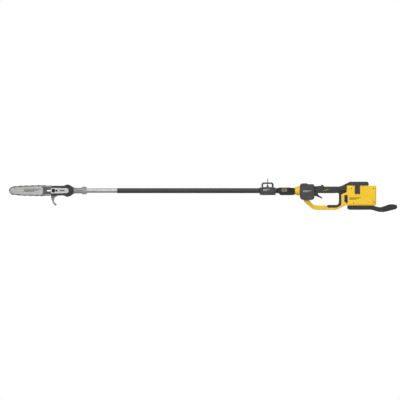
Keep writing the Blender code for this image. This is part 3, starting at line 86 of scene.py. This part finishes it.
# ---------------------------------------------------------------- finishes
class Finish:
    """A Principled material and the nodes that shade it, in the object's own coordinates (metres)."""

    def __init__(self, name, metallic=0.0, **settings):
        self.material = bpy.data.materials.new(name)
        self.material.use_nodes = True
        self.tree = self.material.node_tree
        self.shader = self.tree.nodes["Principled BSDF"]
        self.shader.inputs["Metallic"].default_value = metallic
        for socket, value in settings.items():
            self.shader.inputs[socket.replace("_", " ")].default_value = value
        self.place = self.node("ShaderNodeTexCoord").outputs["Object"]

    def node(self, kind, **settings):
        made = self.tree.nodes.new(kind)
        for name, value in settings.items():
            setattr(made, name, value)
        return made

    def link(self, source, target):
        self.tree.links.new(source, target)

    def stretched(self, stretch):
        mapping = self.node("ShaderNodeMapping")
        mapping.inputs["Scale"].default_value = stretch
        self.link(self.place, mapping.inputs["Vector"])
        return mapping.outputs["Vector"]

    def noise(self, scale, detail=2.0, stretch=(1, 1, 1)):
        """Soft noise from 0 to 1, with this many cycles a metre."""
        noise = self.node("ShaderNodeTexNoise")
        noise.inputs["Scale"].default_value = scale
        noise.inputs["Detail"].default_value = detail
        self.link(self.stretched(stretch), noise.inputs["Vector"])
        return noise.outputs["Fac"]

    def cells(self, scale):
        """Distance to the middle of the nearest cell, with this many cells a metre."""
        cells = self.node("ShaderNodeTexVoronoi")
        cells.inputs["Scale"].default_value = scale
        self.link(self.place, cells.inputs["Vector"])
        return cells.outputs["Distance"]

    def coordinate(self, axis):
        split = self.node("ShaderNodeSeparateXYZ")
        self.link(self.place, split.inputs["Vector"])
        return split.outputs[axis]

    def math(self, operation, first, second=0.0, third=None):
        """The result of a Math node, for numbers or sockets."""
        made = self.node("ShaderNodeMath", operation=operation)
        for socket, value in zip(made.inputs, (first, second, third)):
            if value is None:
                continue
            if isinstance(value, (int, float)):
                socket.default_value = value
            else:
                self.link(value, socket)
        return made.outputs[0]

    def span(self, value, low, high, to_low=0.0, to_high=1.0):
        """Maps value from low..high to another range, and holds it there."""
        mapped = self.node("ShaderNodeMapRange")
        self.link(value, mapped.inputs["Value"])
        for name, number in zip(("From Min", "From Max", "To Min", "To Max"), (low, high, to_low, to_high)):
            mapped.inputs[name].default_value = number
        return mapped.outputs["Result"]

    def tones(self, value, *colours):
        """A colour that runs through these as value goes from 0 to 1."""
        ramp = self.node("ShaderNodeValToRGB")
        elements = ramp.color_ramp.elements
        while len(elements) < len(colours):
            elements.new(0.5)
        for index, (element, colour) in enumerate(zip(elements, colours)):
            element.position = index / (len(colours) - 1)
            element.color = (*colour, 1)
        self.link(value, ramp.inputs["Fac"])
        return ramp.outputs["Color"]

    def blend(self, share, first, second):
        """The first colour where share is 0 and the second where it is 1."""
        mixed = self.node("ShaderNodeMix", data_type="RGBA")
        self.link(share, mixed.inputs["Factor"])
        for socket, value in ((mixed.inputs[6], first), (mixed.inputs[7], second)):
            if isinstance(value, tuple):
                socket.default_value = (*value, 1)
            else:
                self.link(value, socket)
        return mixed.outputs[2]

    def colour(self, source):
        self.link(source, self.shader.inputs["Base Color"])
        return self

    def roughness(self, value, low, high):
        """Runs from low to high as a noise value goes through its usual range."""
        self.link(self.span(value, 0.25, 0.75, low, high), self.shader.inputs["Roughness"])
        return self

    def bump(self, height, depth, strength=0.6):
        """Raises the surface by depth metres where height is 1."""
        bump = self.node("ShaderNodeBump")
        bump.inputs["Strength"].default_value = strength
        bump.inputs["Distance"].default_value = depth
        self.link(height, bump.inputs["Height"])
        self.link(bump.outputs["Normal"], self.shader.inputs["Normal"])
        return self


def near(colour, share):
    """The same colour, lighter or darker by a share."""
    return tuple(channel * share for channel in colour)


def moulded(name, colour, low=0.42, high=0.58, grain=1400, **settings):
    """Spark-textured plastic with faint handling marks."""
    finish = Finish(name, **settings)
    broad = finish.noise(14, 4)
    fine = finish.noise(grain, 3)
    finish.colour(finish.tones(broad, near(colour, 0.86), colour, near(colour, 1.12)))
    finish.roughness(finish.noise(60, 5), low, high)
    return finish.bump(fine, 0.00012)


def overmould(name, colour):
    """Soft rubber with a pattern of small raised pips."""
    finish = Finish(name)
    pips = finish.span(finish.cells(260), 0.15, 0.55, 1.0, 0.0)
    worn = finish.noise(30, 4)
    finish.colour(finish.tones(worn, near(colour, 0.8), colour, near(colour, 1.3)))
    finish.roughness(finish.noise(90, 3), 0.72, 0.92)
    return finish.bump(pips, 0.0003, 0.7)


def drawn_metal(name, colour, low, high, stretch=(0.02, 1, 1)):
    """Metal with fine lines along the direction that it was drawn or ground."""
    finish = Finish(name, metallic=1.0)
    lines = finish.noise(1500, 2, stretch)
    finish.colour(finish.tones(finish.noise(9, 3), near(colour, 0.94), colour, near(colour, 1.04)))
    finish.roughness(lines, low, high)
    return finish.bump(lines, 0.000006, 0.2)


def cast_metal(name, colour):
    """Metal with the rough skin of a die casting."""
    finish = Finish(name, metallic=1.0)
    skin = finish.noise(900, 5)
    finish.colour(finish.tones(finish.noise(40, 5), near(colour, 0.8), colour, near(colour, 1.15)))
    finish.roughness(finish.noise(120, 4), 0.42, 0.62)
    return finish.bump(skin, 0.00010, 0.5)


def oiled_steel(name, colour):
    """Steel under an uneven film of oil."""
    finish = Finish(name, metallic=1.0)
    film = finish.noise(160, 5)
    finish.colour(finish.tones(film, near(colour, 0.55), colour, near(colour, 1.2)))
    finish.roughness(finish.noise(300, 4), 0.26, 0.5)
    return finish.bump(finish.noise(1500, 2), 0.00005, 0.4)


def bar_steel():
    """The guide bar: bright body, a darker heat-treated tail and a ground rail along each edge."""
    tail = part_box("guide_bar")[1]
    finish = Finish("bar_steel", metallic=1.0)
    light, dark = (0.47, 0.47, 0.465), (0.11, 0.11, 0.113)
    x, z = finish.coordinate("X"), finish.coordinate("Z")
    # The bright zone ends in a rounded corner at top and bottom.
    reach = tail.x - TAIL_LENGTH
    corner = finish.math("MULTIPLY", finish.math("POWER", finish.math("ABSOLUTE", z), 4.0), 26000.0)
    edge = finish.math("ADD", x, corner)
    in_tail = finish.span(edge, reach - 0.0006, reach + 0.0006)
    half = 1.0
    for (x0, half0), (x1, half1) in zip(BAR_CIRCLES, BAR_CIRCLES[1:]):
        slope = (half1 - half0) / (x1 - x0)
        half = finish.math("MINIMUM", half, finish.math("MULTIPLY_ADD", x, slope, half0 - slope * x0))
    inward = finish.math("SUBTRACT", half, finish.math("ABSOLUTE", z))
    rail = finish.span(inward, 0.0032, 0.0026)
    ground = finish.noise(1800, 2, (0.03, 1, 1))
    body = finish.tones(ground, near(light, 0.86), light, near(light, 1.08))
    body = finish.blend(rail, body, near(light, 0.62))
    finish.colour(finish.blend(in_tail, body, dark))
    finish.roughness(ground, 0.34, 0.50)
    return finish.bump(ground, 0.00001, 0.2)


def copper_and_iron():
    """Varnished copper wire, wound side by side."""
    finish = Finish("copper_winding", metallic=1.0)
    wires = finish.noise(1200, 1, (0.05, 1, 1))
    finish.colour(finish.tones(wires, (0.28, 0.12, 0.05), (0.60, 0.28, 0.12)))
    return finish.roughness(wires, 0.35, 0.6)


def potted_board():
    """A circuit board under clear potting."""
    finish = Finish("circuit")
    cells = finish.cells(220)
    finish.colour(finish.tones(cells, (0.03, 0.06, 0.04), (0.06, 0.11, 0.07), (0.09, 0.12, 0.10)))
    return finish.roughness(cells, 0.3, 0.7)


BLACK = moulded("black_plastic", (0.023, 0.023, 0.024))
DARK_GREY = moulded("charcoal_plastic", (0.037, 0.036, 0.036))
PANEL_GREY = moulded("panel_plastic", (0.050, 0.050, 0.047), 0.50, 0.64)
COVER_BLACK = moulded("cover_plastic", (0.012, 0.012, 0.013), 0.34, 0.50)
YELLOW = moulded("yellow_plastic", (0.97, 0.62, 0.012), 0.34, 0.48, 1100, Specular_IOR_Level=0.35)
RUBBER = overmould("grip_rubber", (0.018, 0.018, 0.019))
SKID = moulded("skid_plastic", (0.013, 0.013, 0.013), 0.45, 0.60)
POLE_PAINT = moulded("painted_pole", (0.023, 0.023, 0.025), 0.36, 0.46, 900)
ALUMINIUM = drawn_metal("satin_aluminium", (0.39, 0.395, 0.40), 0.28, 0.33)
CAST = cast_metal("cast_aluminium", (0.36, 0.36, 0.37))
STEEL = drawn_metal("bright_steel", (0.58, 0.58, 0.57), 0.28, 0.40, (1, 1, 0.05))
WEAR_PLATE = drawn_metal("wear_plate", (0.50, 0.50, 0.50), 0.36, 0.48)
HOOK_STEEL = drawn_metal("hook_steel", (0.28, 0.28, 0.265), 0.40, 0.55, (1, 1, 0.05))
DARK_STEEL = oiled_steel("dark_steel", (0.20, 0.20, 0.205))
BLACK_STEEL = oiled_steel("black_oxide_steel", (0.030, 0.030, 0.032))
CHAIN_STEEL = oiled_steel("chain_steel", (0.052, 0.052, 0.053))
CHROME_EDGE = drawn_metal("cutter_chrome", (0.10, 0.10, 0.104), 0.28, 0.40)
RIVET_STEEL = oiled_steel("rivet_steel", (0.12, 0.12, 0.12))
BADGE = moulded("badge_plastic", (0.20, 0.185, 0.095), 0.40, 0.55)
LIME = moulded("accent_plastic", (0.30, 0.33, 0.045), 0.45, 0.6)
TRIM = moulded("handle_trim_plastic", (0.50, 0.44, 0.06), 0.45, 0.6)
DARK_PRINT = moulded("dark_print", (0.060, 0.055, 0.045), 0.5, 0.65)
PALE_PRINT = moulded("pale_print", (0.50, 0.50, 0.49), 0.5, 0.65)
BAR = bar_steel()

SLOT_FINISH = {
    "black_plastic": BLACK,
    "grip_rubber": RUBBER,
    "yellow_plastic": YELLOW,
    "painted_pole": POLE_PAINT,
    "satin_aluminium": ALUMINIUM,
    "cast_aluminium": CAST,
    "bright_steel": STEEL,
    "dark_steel": DARK_STEEL,
    "copper_winding": copper_and_iron(),
    "circuit": potted_board(),
}
NODE_FINISH = {
    "guide_bar": BAR,
    "cover_plate": WEAR_PLATE,
    "branch_hook": HOOK_STEEL,
    "bar_stud": BLACK_STEEL,
    "clamp_bolt_upper": BLACK_STEEL,
    "rear_skid": SKID,
    "sprocket_cover": COVER_BLACK,
    "motor_housing_left": DARK_GREY,
    "motor_housing_right": DARK_GREY,
    "hanger_loop": COVER_BLACK,
    "hanger_ring": DARK_STEEL,
    "bar_nut": BLACK_STEEL,
    "tension_screw": BLACK_STEEL,
    "lock_off_button": COVER_BLACK,
    "lock_lever": COVER_BLACK,
    "trigger": COVER_BLACK,
}


def paint_nodes():
    """Gives each CAD node its own finish, or that of its slot."""
    for entry in frame["record"]["subparts"]:
        node = NODES[entry["node"]]
        finish = NODE_FINISH.get(entry["node"], SLOT_FINISH[entry["material_slot"]])
        node.data.materials.clear()
        node.data.materials.append(finish.material)


# ---------------------------------------------------------------- pieces
def piece(name, shape, finish, body, slot, *replaced):
    """Turns a bmesh into a piece of the saw that moves with a CAD body."""
    mesh = bpy.data.meshes.new(name)
    bmesh.ops.recalc_face_normals(shape, faces=shape.faces)
    shape.to_mesh(mesh)
    shape.free()
    mesh.shade_smooth()
    mesh.set_sharp_from_angle(angle=radians(35))
    mesh.materials.append(finish.material)
    obj = bpy.data.objects.new(name, mesh)
    bpy.context.scene.collection.objects.link(obj)
    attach(obj, body)
    if replaced:
        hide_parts(*replaced)


def prism(shape, outline, low, high, matrix):
    """Adds an outline of (x, z) points, low to high along Y, moved by a matrix."""
    rings = []
    for y in (low, high):
        rings.append([shape.verts.new(matrix @ Vector((x, y, z))) for x, z in outline])
    shape.faces.new(rings[0])
    shape.faces.new(list(reversed(rings[1])))
    for index in range(len(outline)):
        after = (index + 1) % len(outline)
        shape.faces.new((rings[0][index], rings[1][index], rings[1][after], rings[0][after]))


def full_turn(count):
    """Angles spaced evenly round a circle."""
    return [2 * pi * i / count for i in range(count)]


def lofted(shape, rings):
    """Joins rings of points into a skin, and caps both ends."""
    rows = [[shape.verts.new(point) for point in ring] for ring in rings]
    for lower, upper in zip(rows, rows[1:]):
        for index in range(len(lower)):
            after = (index + 1) % len(lower)
            shape.faces.new((lower[index], upper[index], upper[after], lower[after]))
    shape.faces.new(list(reversed(rows[0])))
    shape.faces.new(rows[-1])


def circle(x, z, radius, angles):
    """The (x, z) points of a circle at these angles."""
    return [(x + radius * cos(angle), z + radius * sin(angle)) for angle in angles]


# ---------------------------------------------------------------- chain
def belt_points(circles, grow):
    """Points of a belt round circles (x, radius) in order of x, all on z = 0, anticlockwise."""
    circles = [(x, radius + grow) for x, radius in circles]
    leaves = [acos((r0 - r1) / (x1 - x0)) for (x0, r0), (x1, r1) in zip(circles, circles[1:])]
    upper = []
    for (x, radius), start, end in reversed(list(zip(circles, leaves + [0], [pi] + leaves))):
        steps = max(1, ceil((end - start) / radians(4)))
        for step in range(steps + 1):
            turn = start + (end - start) * step / steps
            upper.append(Vector((x + radius * cos(turn), 0, radius * sin(turn))))
    return upper + [Vector((p.x, 0, -p.z)) for p in reversed(upper[1:-1])]


def rivet_places(path, count):
    """Points spaced evenly along a closed path."""
    total = sum((b - a).length for a, b in zip(path, path[1:] + path[:1]))
    pitch = total / count
    places, travelled, target = [], 0.0, 0.0
    for start, end in zip(path, path[1:] + path[:1]):
        run = (end - start).length
        while target <= travelled + run and len(places) < count:
            places.append(start.lerp(end, (target - travelled) / run))
            target += pitch
        travelled += run
    return places, pitch


def link_frame(start, end, y):
    """A matrix whose X runs from one rivet to the next and whose Z points out of the chain's loop."""
    ahead = (end - start).normalized()
    outward = Vector((ahead.z, 0, -ahead.x))
    matrix = Matrix((ahead, Vector((0, 1, 0)), outward)).transposed().to_4x4()
    matrix.translation = (start + end) / 2 + Vector((0, y, 0))
    return matrix


def waisted(half, radius, waist):
    """A strap's outline: a round end on each rivet and a narrower middle."""
    steps = range(7)
    left = circle(-half, 0, radius, [pi / 2 + pi * i / 6 for i in steps])
    right = circle(half, 0, radius, [-pi / 2 + pi * i / 6 for i in steps])
    return left + [(0, -waist)] + right + [(0, waist)]


def make_chain():
    """Drive links, tie straps, rivets and left and right cutters, in the CAD chain's space."""
    low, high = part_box("saw_chain")
    middle_y, half_width = (low.y + high.y) / 2, (high.y - low.y) / 2
    places, pitch = rivet_places(belt_points(BAR_CIRCLES, RIVET_LINE), CHAIN_LINKS)
    places.reverse()
    links, straps, cutters, rivets = (bmesh.new() for _ in range(4))
    drive = waisted(pitch / 2, 0.0030, 0.0030)
    strap = waisted(pitch / 2, 0.0031, 0.0021)
    rivet = circle(0, 0, 0.0015, full_turn(8))
    drive_half, plate_inner, plate_outer, top_reach = 0.00065, 0.0009, 0.0022, 0.0004
    rivet_half = half_width - 0.0002
    # A cutter's side, with its depth gauge in front and its tooth behind, and the plate on top.
    side_plate = [
        (-0.0074, -0.0028),
        (0.0072, -0.0028),
        (0.0074, 0.0012),
        (0.0062, 0.0046),
        (0.0034, 0.0046),
        (0.0022, 0.0014),
        (0.0006, 0.0012),
        (-0.0004, 0.0056),
        (-0.0068, 0.0048),
        (-0.0078, 0.0004),
    ]
    top_plate = [(-0.0068, 0.0040), (-0.0001, 0.0048), (-0.0004, 0.0058), (-0.0068, 0.0050)]
    for index, place in enumerate(places):
        after = places[(index + 1) % len(places)]
        matrix = link_frame(after, place, middle_y)
        if index % 2 == 0:
            prism(links, drive, -drive_half, drive_half, matrix)
        else:
            cutter_hand = 1 if index % 8 == 3 else -1
            for hand in (-1, 1):
                inner, outer = sorted((hand * plate_inner, hand * plate_outer))
                if index % 4 == 3 and hand == cutter_hand:
                    prism(cutters, side_plate, inner, outer, matrix)
                    reach = sorted((-hand * top_reach, hand * plate_outer))
                    prism(cutters, top_plate, *reach, matrix)
                else:
                    prism(straps, strap, inner, outer, matrix)
        at = Matrix.Translation(place + Vector((0, middle_y, 0)))
        prism(rivets, rivet, -rivet_half, rivet_half, at)
    piece("chain_straps", straps, CHAIN_STEEL, "boom", "dark_steel", "saw_chain")
    piece("chain_drive_links", links, CHAIN_STEEL, "boom", "dark_steel")
    piece("chain_cutters", cutters, CHROME_EDGE, "boom", "dark_steel")
    piece("chain_rivets", rivets, RIVET_STEEL, "boom", "bright_steel")


# ---------------------------------------------------------------- raised details
def rounded_outline(corners, radius):
    """The outline through (x, z) corners with an arc of this radius at each."""
    points = []
    for index, corner in enumerate(corners):
        here = Vector(corner)
        back = (Vector(corners[index - 1]) - here).normalized()
        ahead = (Vector(corners[(index + 1) % len(corners)]) - here).normalized()
        half = back.angle(ahead) / 2
        centre = here + (back + ahead).normalized() * (radius / sin(half))
        start = here + back * (radius / tan(half)) - centre
        end = here + ahead * (radius / tan(half)) - centre
        turn = (pi - 2 * half) * (1 if start.x * end.y > start.y * end.x else -1)
        steps = max(1, ceil(abs(turn) / radians(12)))
        points += [centre + Matrix.Rotation(turn * i / steps, 2) @ start for i in range(steps + 1)]
    return [(point.x, point.y) for point in points]


def raised_plate(shape, outline, face, side, height, edge, sunk=0.0004):
    """Adds a plate that stands this far off a flat face at y, towards side (-1 or 1), with a soft edge."""
    centre = Vector((sum(x for x, _ in outline), sum(z for _, z in outline))) / len(outline)
    rings = []
    for rise, inset in ((-sunk, 0.0), (height - edge, 0.0), (height, edge)):
        ring = []
        for x, z in outline:
            inward = (centre - Vector((x, z))).normalized() * inset
            ring.append((x + inward.x, face + side * rise, z + inward.y))
        rings.append(ring)
    lofted(shape, rings)


def rectangle(x, z):
    """Corners of an upright rectangle between two x and two z."""
    return [(x[0], z[0]), (x[1], z[0]), (x[1], z[1]), (x[0], z[1])]


def plain_stripes(name, x, z, face, finish, body, slot):
    """Three plain printed stripes along X on a flat face towards -Y, the lower ones shorter."""
    shape = bmesh.new()
    pitch = (z[1] - z[0]) / 3
    for index, share in enumerate((1.0, 0.8, 0.6)):
        top = z[1] - pitch * index
        corners = rectangle((x[0], x[0] + (x[1] - x[0]) * share), (top - pitch * 0.5, top))
        raised_plate(shape, rounded_outline(corners, pitch * 0.2), face, -1, 0.00025, 0.0001)
    piece(name, shape, finish, body, slot)


def screw_heads(name, places, face, side, radius=0.0032):
    """Pan head screws of the power unit with a six-lobed recess, at (x, z) places on a flat face at y."""
    shape = bmesh.new()
    profile = ((1.0, -0.15), (1.0, 0.20), (0.88, 0.36), (0.55, 0.44))
    top, floor = 0.44, 0.02
    angles = full_turn(18)
    lobes = [radius * (0.46 if index % 3 else 0.34) for index in range(len(angles))]
    for x, z in places:
        rings = []
        for share, height in profile:
            y = face + side * height * radius
            rings.append([(x + share * radius * cos(a), y, z + share * radius * sin(a)) for a in angles])
        for height in (top, floor):
            y = face + side * height * radius
            rings.append([(x + lobe * cos(a), y, z + lobe * sin(a)) for lobe, a in zip(lobes, angles)])
        lofted(shape, rings)
    piece(name, shape, BLACK_STEEL, "power_unit", "dark_steel")


def make_bar_details():
    low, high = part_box("guide_bar")
    shape = bmesh.new()
    rivet_circle = circle(NOSE.x, 0, 0.0085, [turn + pi / 4 for turn in full_turn(4)])
    for x, z in rivet_circle:
        rivet = circle(x, z, 0.0011, full_turn(12))
        for face, side in ((low.y, -1), (high.y, 1)):
            raised_plate(shape, rivet, face, side, 0.00035, 0.0002)
    piece("bar_nose_rivets", shape, STEEL, "bar_unit", "bright_steel")
    print_x = (BULGE_X - 0.108, BULGE_X - 0.002)
    plain_stripes("bar_print", print_x, (-0.010, 0.011), low.y, DARK_PRINT, "bar_unit", "dark_steel")


def make_gear_case_details():
    """Two cast ribs along the neck, with a dark strip between them: painted shade for the line where the neck's
    lit upper and shaded lower faces meet.
    """
    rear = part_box("gear_case")[1].x
    shape = bmesh.new()
    rib_half, rib_sunk = 0.0020, 0.0006
    for height in (0.0062, -0.0068):
        face = -sqrt(NECK_RADIUS**2 - height**2) + rib_sunk
        corners = rectangle((SPINDLE.x + 0.050, rear - 0.002), (height - rib_half, height + rib_half))
        raised_plate(shape, rounded_outline(corners, 0.0015), face, -1, 0.0016, 0.0008, 0.002)
    piece("gear_case_ribs", shape, CAST, "boom", "cast_aluminium")
    # A thin dark strip along the middle of the neck, as painted shade where its upper and lower faces meet.
    shape = bmesh.new()
    corners = rectangle((SPINDLE.x + 0.052, rear - 0.020), (-0.0017, 0.0006))
    raised_plate(shape, rounded_outline(corners, 0.0009), -NECK_RADIUS, -1, 0.0009, 0.0003, 0.003)
    piece("gear_case_painted_shade_line", shape, BLACK_STEEL, "boom", "dark_steel")


def make_cover_details():
    """Ribs along the sprocket cover's edges and round its end."""
    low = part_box("sprocket_cover")[0]
    shape = bmesh.new()
    rib_half = 0.0016
    for z in (-0.0245, 0.0245):
        corners = rectangle((low.x + 0.004, SPINDLE.x - 0.004), (z - rib_half, z + rib_half))
        raised_plate(shape, rounded_outline(corners, 0.0012), low.y + 0.0020, -1, 0.0010, 0.0006)
    height, sunk, steps = 0.0010, 0.0004, 48
    # The round rib's section: (radius, distance off the cover's face).
    section = ((0.0330, -sunk), (0.0330, height / 2), (0.0315, height), (0.0300, height / 2), (0.0300, -sunk))
    rings = []
    for step in range(steps + 1):
        turn = radians(-62 + 124 * step / steps)
        rings.append([(SPINDLE.x + r * cos(turn), low.y - off, r * sin(turn)) for r, off in section])
    lofted(shape, rings)
    piece("sprocket_cover_ribs", shape, COVER_BLACK, "boom", "black_plastic")


def make_motor_details():
    low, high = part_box("motor_housing_left")
    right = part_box("motor_housing_right")[1].y
    shape = bmesh.new()
    panel = [
        (low.x + 0.012, low.z + 0.009),
        (high.x - 0.012, low.z + 0.009),
        (high.x - 0.008, low.z + 0.034),
        (low.x + 0.010, low.z + 0.034),
    ]
    for face, side in ((low.y, -1), (right, 1)):
        raised_plate(shape, rounded_outline(panel, 0.006), face, side, 0.0010, 0.0006)
    piece("motor_side_panels", shape, PANEL_GREY, "power_unit", "black_plastic")
    print_x = (low.x + 0.020, high.x - 0.018)
    plain_stripes("motor_print", print_x, (-0.0100, 0.0010), low.y, PALE_PRINT, "power_unit", "black_plastic")
    heads = [(low.x + 0.013, high.z - 0.018), (high.x - 0.013, high.z - 0.018)]
    screw_heads("motor_screws_left", heads, low.y, -1)
    screw_heads("motor_screws_right", heads, right, 1)


def make_grip_badge():
    low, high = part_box("front_grip")
    badge_x = (high.x - 0.0820, high.x - 0.0480)
    rise = 0.0008
    shape = bmesh.new()
    outline = rounded_outline(rectangle(badge_x, (-0.0065, 0.0140)), 0.003)
    raised_plate(shape, outline, low.y, -1, rise, rise / 2)
    piece("grip_badge", shape, BADGE, "power_unit", "grip_rubber")
    print_x = (badge_x[0] + 0.005, badge_x[1] - 0.004)
    face = low.y - rise
    plain_stripes("grip_badge_print", print_x, (-0.0030, 0.0105), face, DARK_PRINT, "power_unit", "grip_rubber")


def make_handle_details():
    """A slanted accent on the handle's side and a trim strip along its underside."""
    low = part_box("handle_shell_left")[0]
    accent_x, slope = (low.x + 0.0570, low.x + 0.0900), 0.26
    accent = [(x, z + (x - accent_x[0]) * slope) for x, z in rectangle(accent_x, (-0.0025, 0.0015))]
    shape = bmesh.new()
    raised_plate(shape, rounded_outline(accent, 0.0015), -HANDLE_HALF, -1, 0.0006, 0.0003)
    piece("handle_accent", shape, LIME, "power_unit", "black_plastic")
    shape = bmesh.new()
    section = [(-0.0080, 0.0005), (-0.0066, -0.0013), (0.0066, -0.0013), (0.0080, 0.0005)]
    ends = (low.x + 0.032, low.x + 0.128)
    lofted(shape, [[(x, y, HANDLE_UNDER + z) for y, z in section] for x in ends])
    piece("handle_trim", shape, TRIM, "power_unit", "yellow_plastic")


def make_housing_details():
    """Print, raised facets and screws on the sides of the rear housing."""
    low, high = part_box("rear_housing_left")
    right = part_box("rear_housing_right")[1].y
    print_x = (high.x - 0.166, high.x - 0.092)
    plain_stripes("housing_print", print_x, (-0.058, -0.042), low.y, DARK_PRINT, "power_unit", "yellow_plastic")

    # Facets as (height, corners), with each x measured from the housing's rear end.
    rear_rise, front_rise = 0.0022, 0.0014
    facets = (
        (rear_rise, [(-0.042, -0.078), (-0.004, -0.078), (-0.004, 0.022), (-0.036, 0.022)]),
        (front_rise, [(-0.176, 0.000), (-0.132, 0.000), (-0.126, 0.022), (-0.176, 0.022)]),
        (0.0012, [(-0.100, -0.036), (-0.052, -0.036), (-0.048, 0.010), (-0.100, 0.010)]),
        (front_rise, [(-0.172, -0.082), (-0.050, -0.082), (-0.050, -0.070), (-0.166, -0.070)]),
    )
    shape = bmesh.new()
    for height, corners in facets:
        outline = rounded_outline([(high.x + x, z) for x, z in corners], 0.003)
        for face, side in ((low.y, -1), (right, 1)):
            raised_plate(shape, outline, face, side, height, height * 1.5)
    piece("housing_relief", shape, YELLOW, "power_unit", "yellow_plastic")

    rear_heads = [(high.x - 0.015, 0.013), (high.x - 0.015, -0.069)]
    front_heads = [(high.x - 0.152, 0.013), (high.x - 0.140, -0.0758)]
    for hand, face, side in (("left", low.y, -1), ("right", right, 1)):
        screw_heads("housing_rear_screws_" + hand, rear_heads, face + side * rear_rise, side, 0.0030)
        screw_heads("housing_front_screws_" + hand, front_heads, face + side * front_rise, side, 0.0030)


def make_skid_ribs():
    """Ribs across the underside of the skid's flat run."""
    low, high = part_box("rear_skid")
    sole = low.z + SOLE_OVER_LOWEST
    ends = (low.y + 0.012, high.y - 0.012)
    section = [(-0.0024, 0.0006), (-0.0014, -0.0009), (0.0014, -0.0009), (0.0024, 0.0006)]
    shape = bmesh.new()
    for index in range(8):
        x = low.x + 0.022 + index * 0.015
        lofted(shape, [[(x + dx, y, sole + dz) for dx, dz in section] for y in ends])
    piece("skid_ribs", shape, SKID, "power_unit", "black_plastic")


def make_lock_details():
    low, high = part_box("lock_body_left")
    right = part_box("lock_body_right")[1].y
    rise = 0.0008
    shape = bmesh.new()
    panel = [
        (low.x + 0.014, -0.0120),
        (high.x - 0.018, -0.0120),
        (high.x - 0.010, 0.0150),
        (low.x + 0.010, 0.0150),
    ]
    for face, side in ((low.y, -1), (right, 1)):
        raised_plate(shape, rounded_outline(panel, 0.002), face, side, rise, rise / 2)
    piece("lock_side_panels", shape, PANEL_GREY, "boom", "black_plastic")
    print_x = (low.x + 0.024, high.x - 0.034)
    plain_stripes("lock_print", print_x, (-0.0020, 0.0090), low.y - rise, PALE_PRINT, "boom", "black_plastic")


def make_collar_screw():
    lug_x, lug_z, lug_face = middle("pole_collar").x - 0.0005, -0.0235, -0.0080
    screw_heads("collar_screw", [(lug_x, lug_z)], lug_face, -1, 0.0046)


# ---------------------------------------------------------------- studio
def area_light(name, centre, offset, size, energy):
    """A rectangular light at centre + offset, turned towards centre."""
    data = bpy.data.lights.new(name, "AREA")
    data.shape = "RECTANGLE"
    data.size, data.size_y = size
    data.energy = energy
    light = bpy.data.objects.new(name, data)
    bpy.context.scene.collection.objects.link(light)
    light.location = centre + Vector(offset)
    light.rotation_euler = (centre - light.location).to_track_quat("-Z", "Y").to_euler()


def make_camera():
    data = bpy.data.cameras.new("camera")
    data.type = "ORTHO"
    data.ortho_scale = VIEW_WIDTH
    data.clip_end = 50
    camera = bpy.data.objects.new("camera", data)
    bpy.context.scene.collection.objects.link(camera)
    camera.location = (VIEW_CENTRE_X, -6.0, VIEW_CENTRE_Z)
    camera.rotation_euler = (pi / 2, 0, 0)
    bpy.context.scene.camera = camera


def make_floor(x, z):
    mesh = bpy.data.meshes.new("floor")
    shape = bmesh.new()
    bmesh.ops.create_grid(shape, x_segments=1, y_segments=1, size=12)
    shape.to_mesh(mesh)
    shape.free()
    floor = bpy.data.objects.new("floor", mesh)
    bpy.context.scene.collection.objects.link(floor)
    floor.location = (x, 0, z)
    paint = Finish("floor_paint")
    paint.colour(paint.tones(paint.noise(3, 2), (0.80, 0.80, 0.80), (0.84, 0.84, 0.84)))
    mesh.materials.append(paint.material)


def make_world():
    """A soft sky, darker below, that the camera itself sees as plain white."""
    world = bpy.data.worlds.new("studio")
    bpy.context.scene.world = world
    world.use_nodes = True
    nodes, links = world.node_tree.nodes, world.node_tree.links
    background = nodes["Background"]
    rays = nodes.new("ShaderNodeLightPath")
    place = nodes.new("ShaderNodeTexCoord")
    split = nodes.new("ShaderNodeSeparateXYZ")
    sky = nodes.new("ShaderNodeValToRGB")
    height = nodes.new("ShaderNodeMapRange")
    choose = nodes.new("ShaderNodeMix")
    choose.data_type = "RGBA"
    height.inputs["From Min"].default_value = -1.0
    sky.color_ramp.elements[0].color = (0.10, 0.10, 0.10, 1)
    sky.color_ramp.elements[1].color = (0.50, 0.50, 0.50, 1)
    choose.inputs[7].default_value = (1, 1, 1, 1)
    links.new(place.outputs["Generated"], split.inputs["Vector"])
    links.new(split.outputs["Z"], height.inputs["Value"])
    links.new(height.outputs["Result"], sky.inputs["Fac"])
    links.new(rays.outputs["Is Camera Ray"], choose.inputs["Factor"])
    links.new(sky.outputs["Color"], choose.inputs[6])
    links.new(choose.outputs[2], background.inputs["Color"])


def make_studio():
    low, high = cad_box
    centre = (Vector(low) + Vector(high)) / 2
    make_camera()
    make_floor(centre.x, low[2] - 0.0005)
    area_light("key", centre, (-0.4, -2.0, 2.6), (3.4, 1.2), 47)
    area_light("fill", centre, (0.4, -3.2, 0.7), (3.2, 1.4), 29)
    area_light("rim", centre, (0, 2.6, 2.2), (3.4, 1.2), 8)
    make_world()
    bpy.context.scene.view_settings.view_transform = "Standard"


make_studio()
paint_nodes()
make_chain()
make_bar_details()
make_gear_case_details()
make_cover_details()
make_motor_details()
make_grip_badge()
make_handle_details()
make_housing_details()
make_skid_ribs()
make_lock_details()
make_collar_screw()
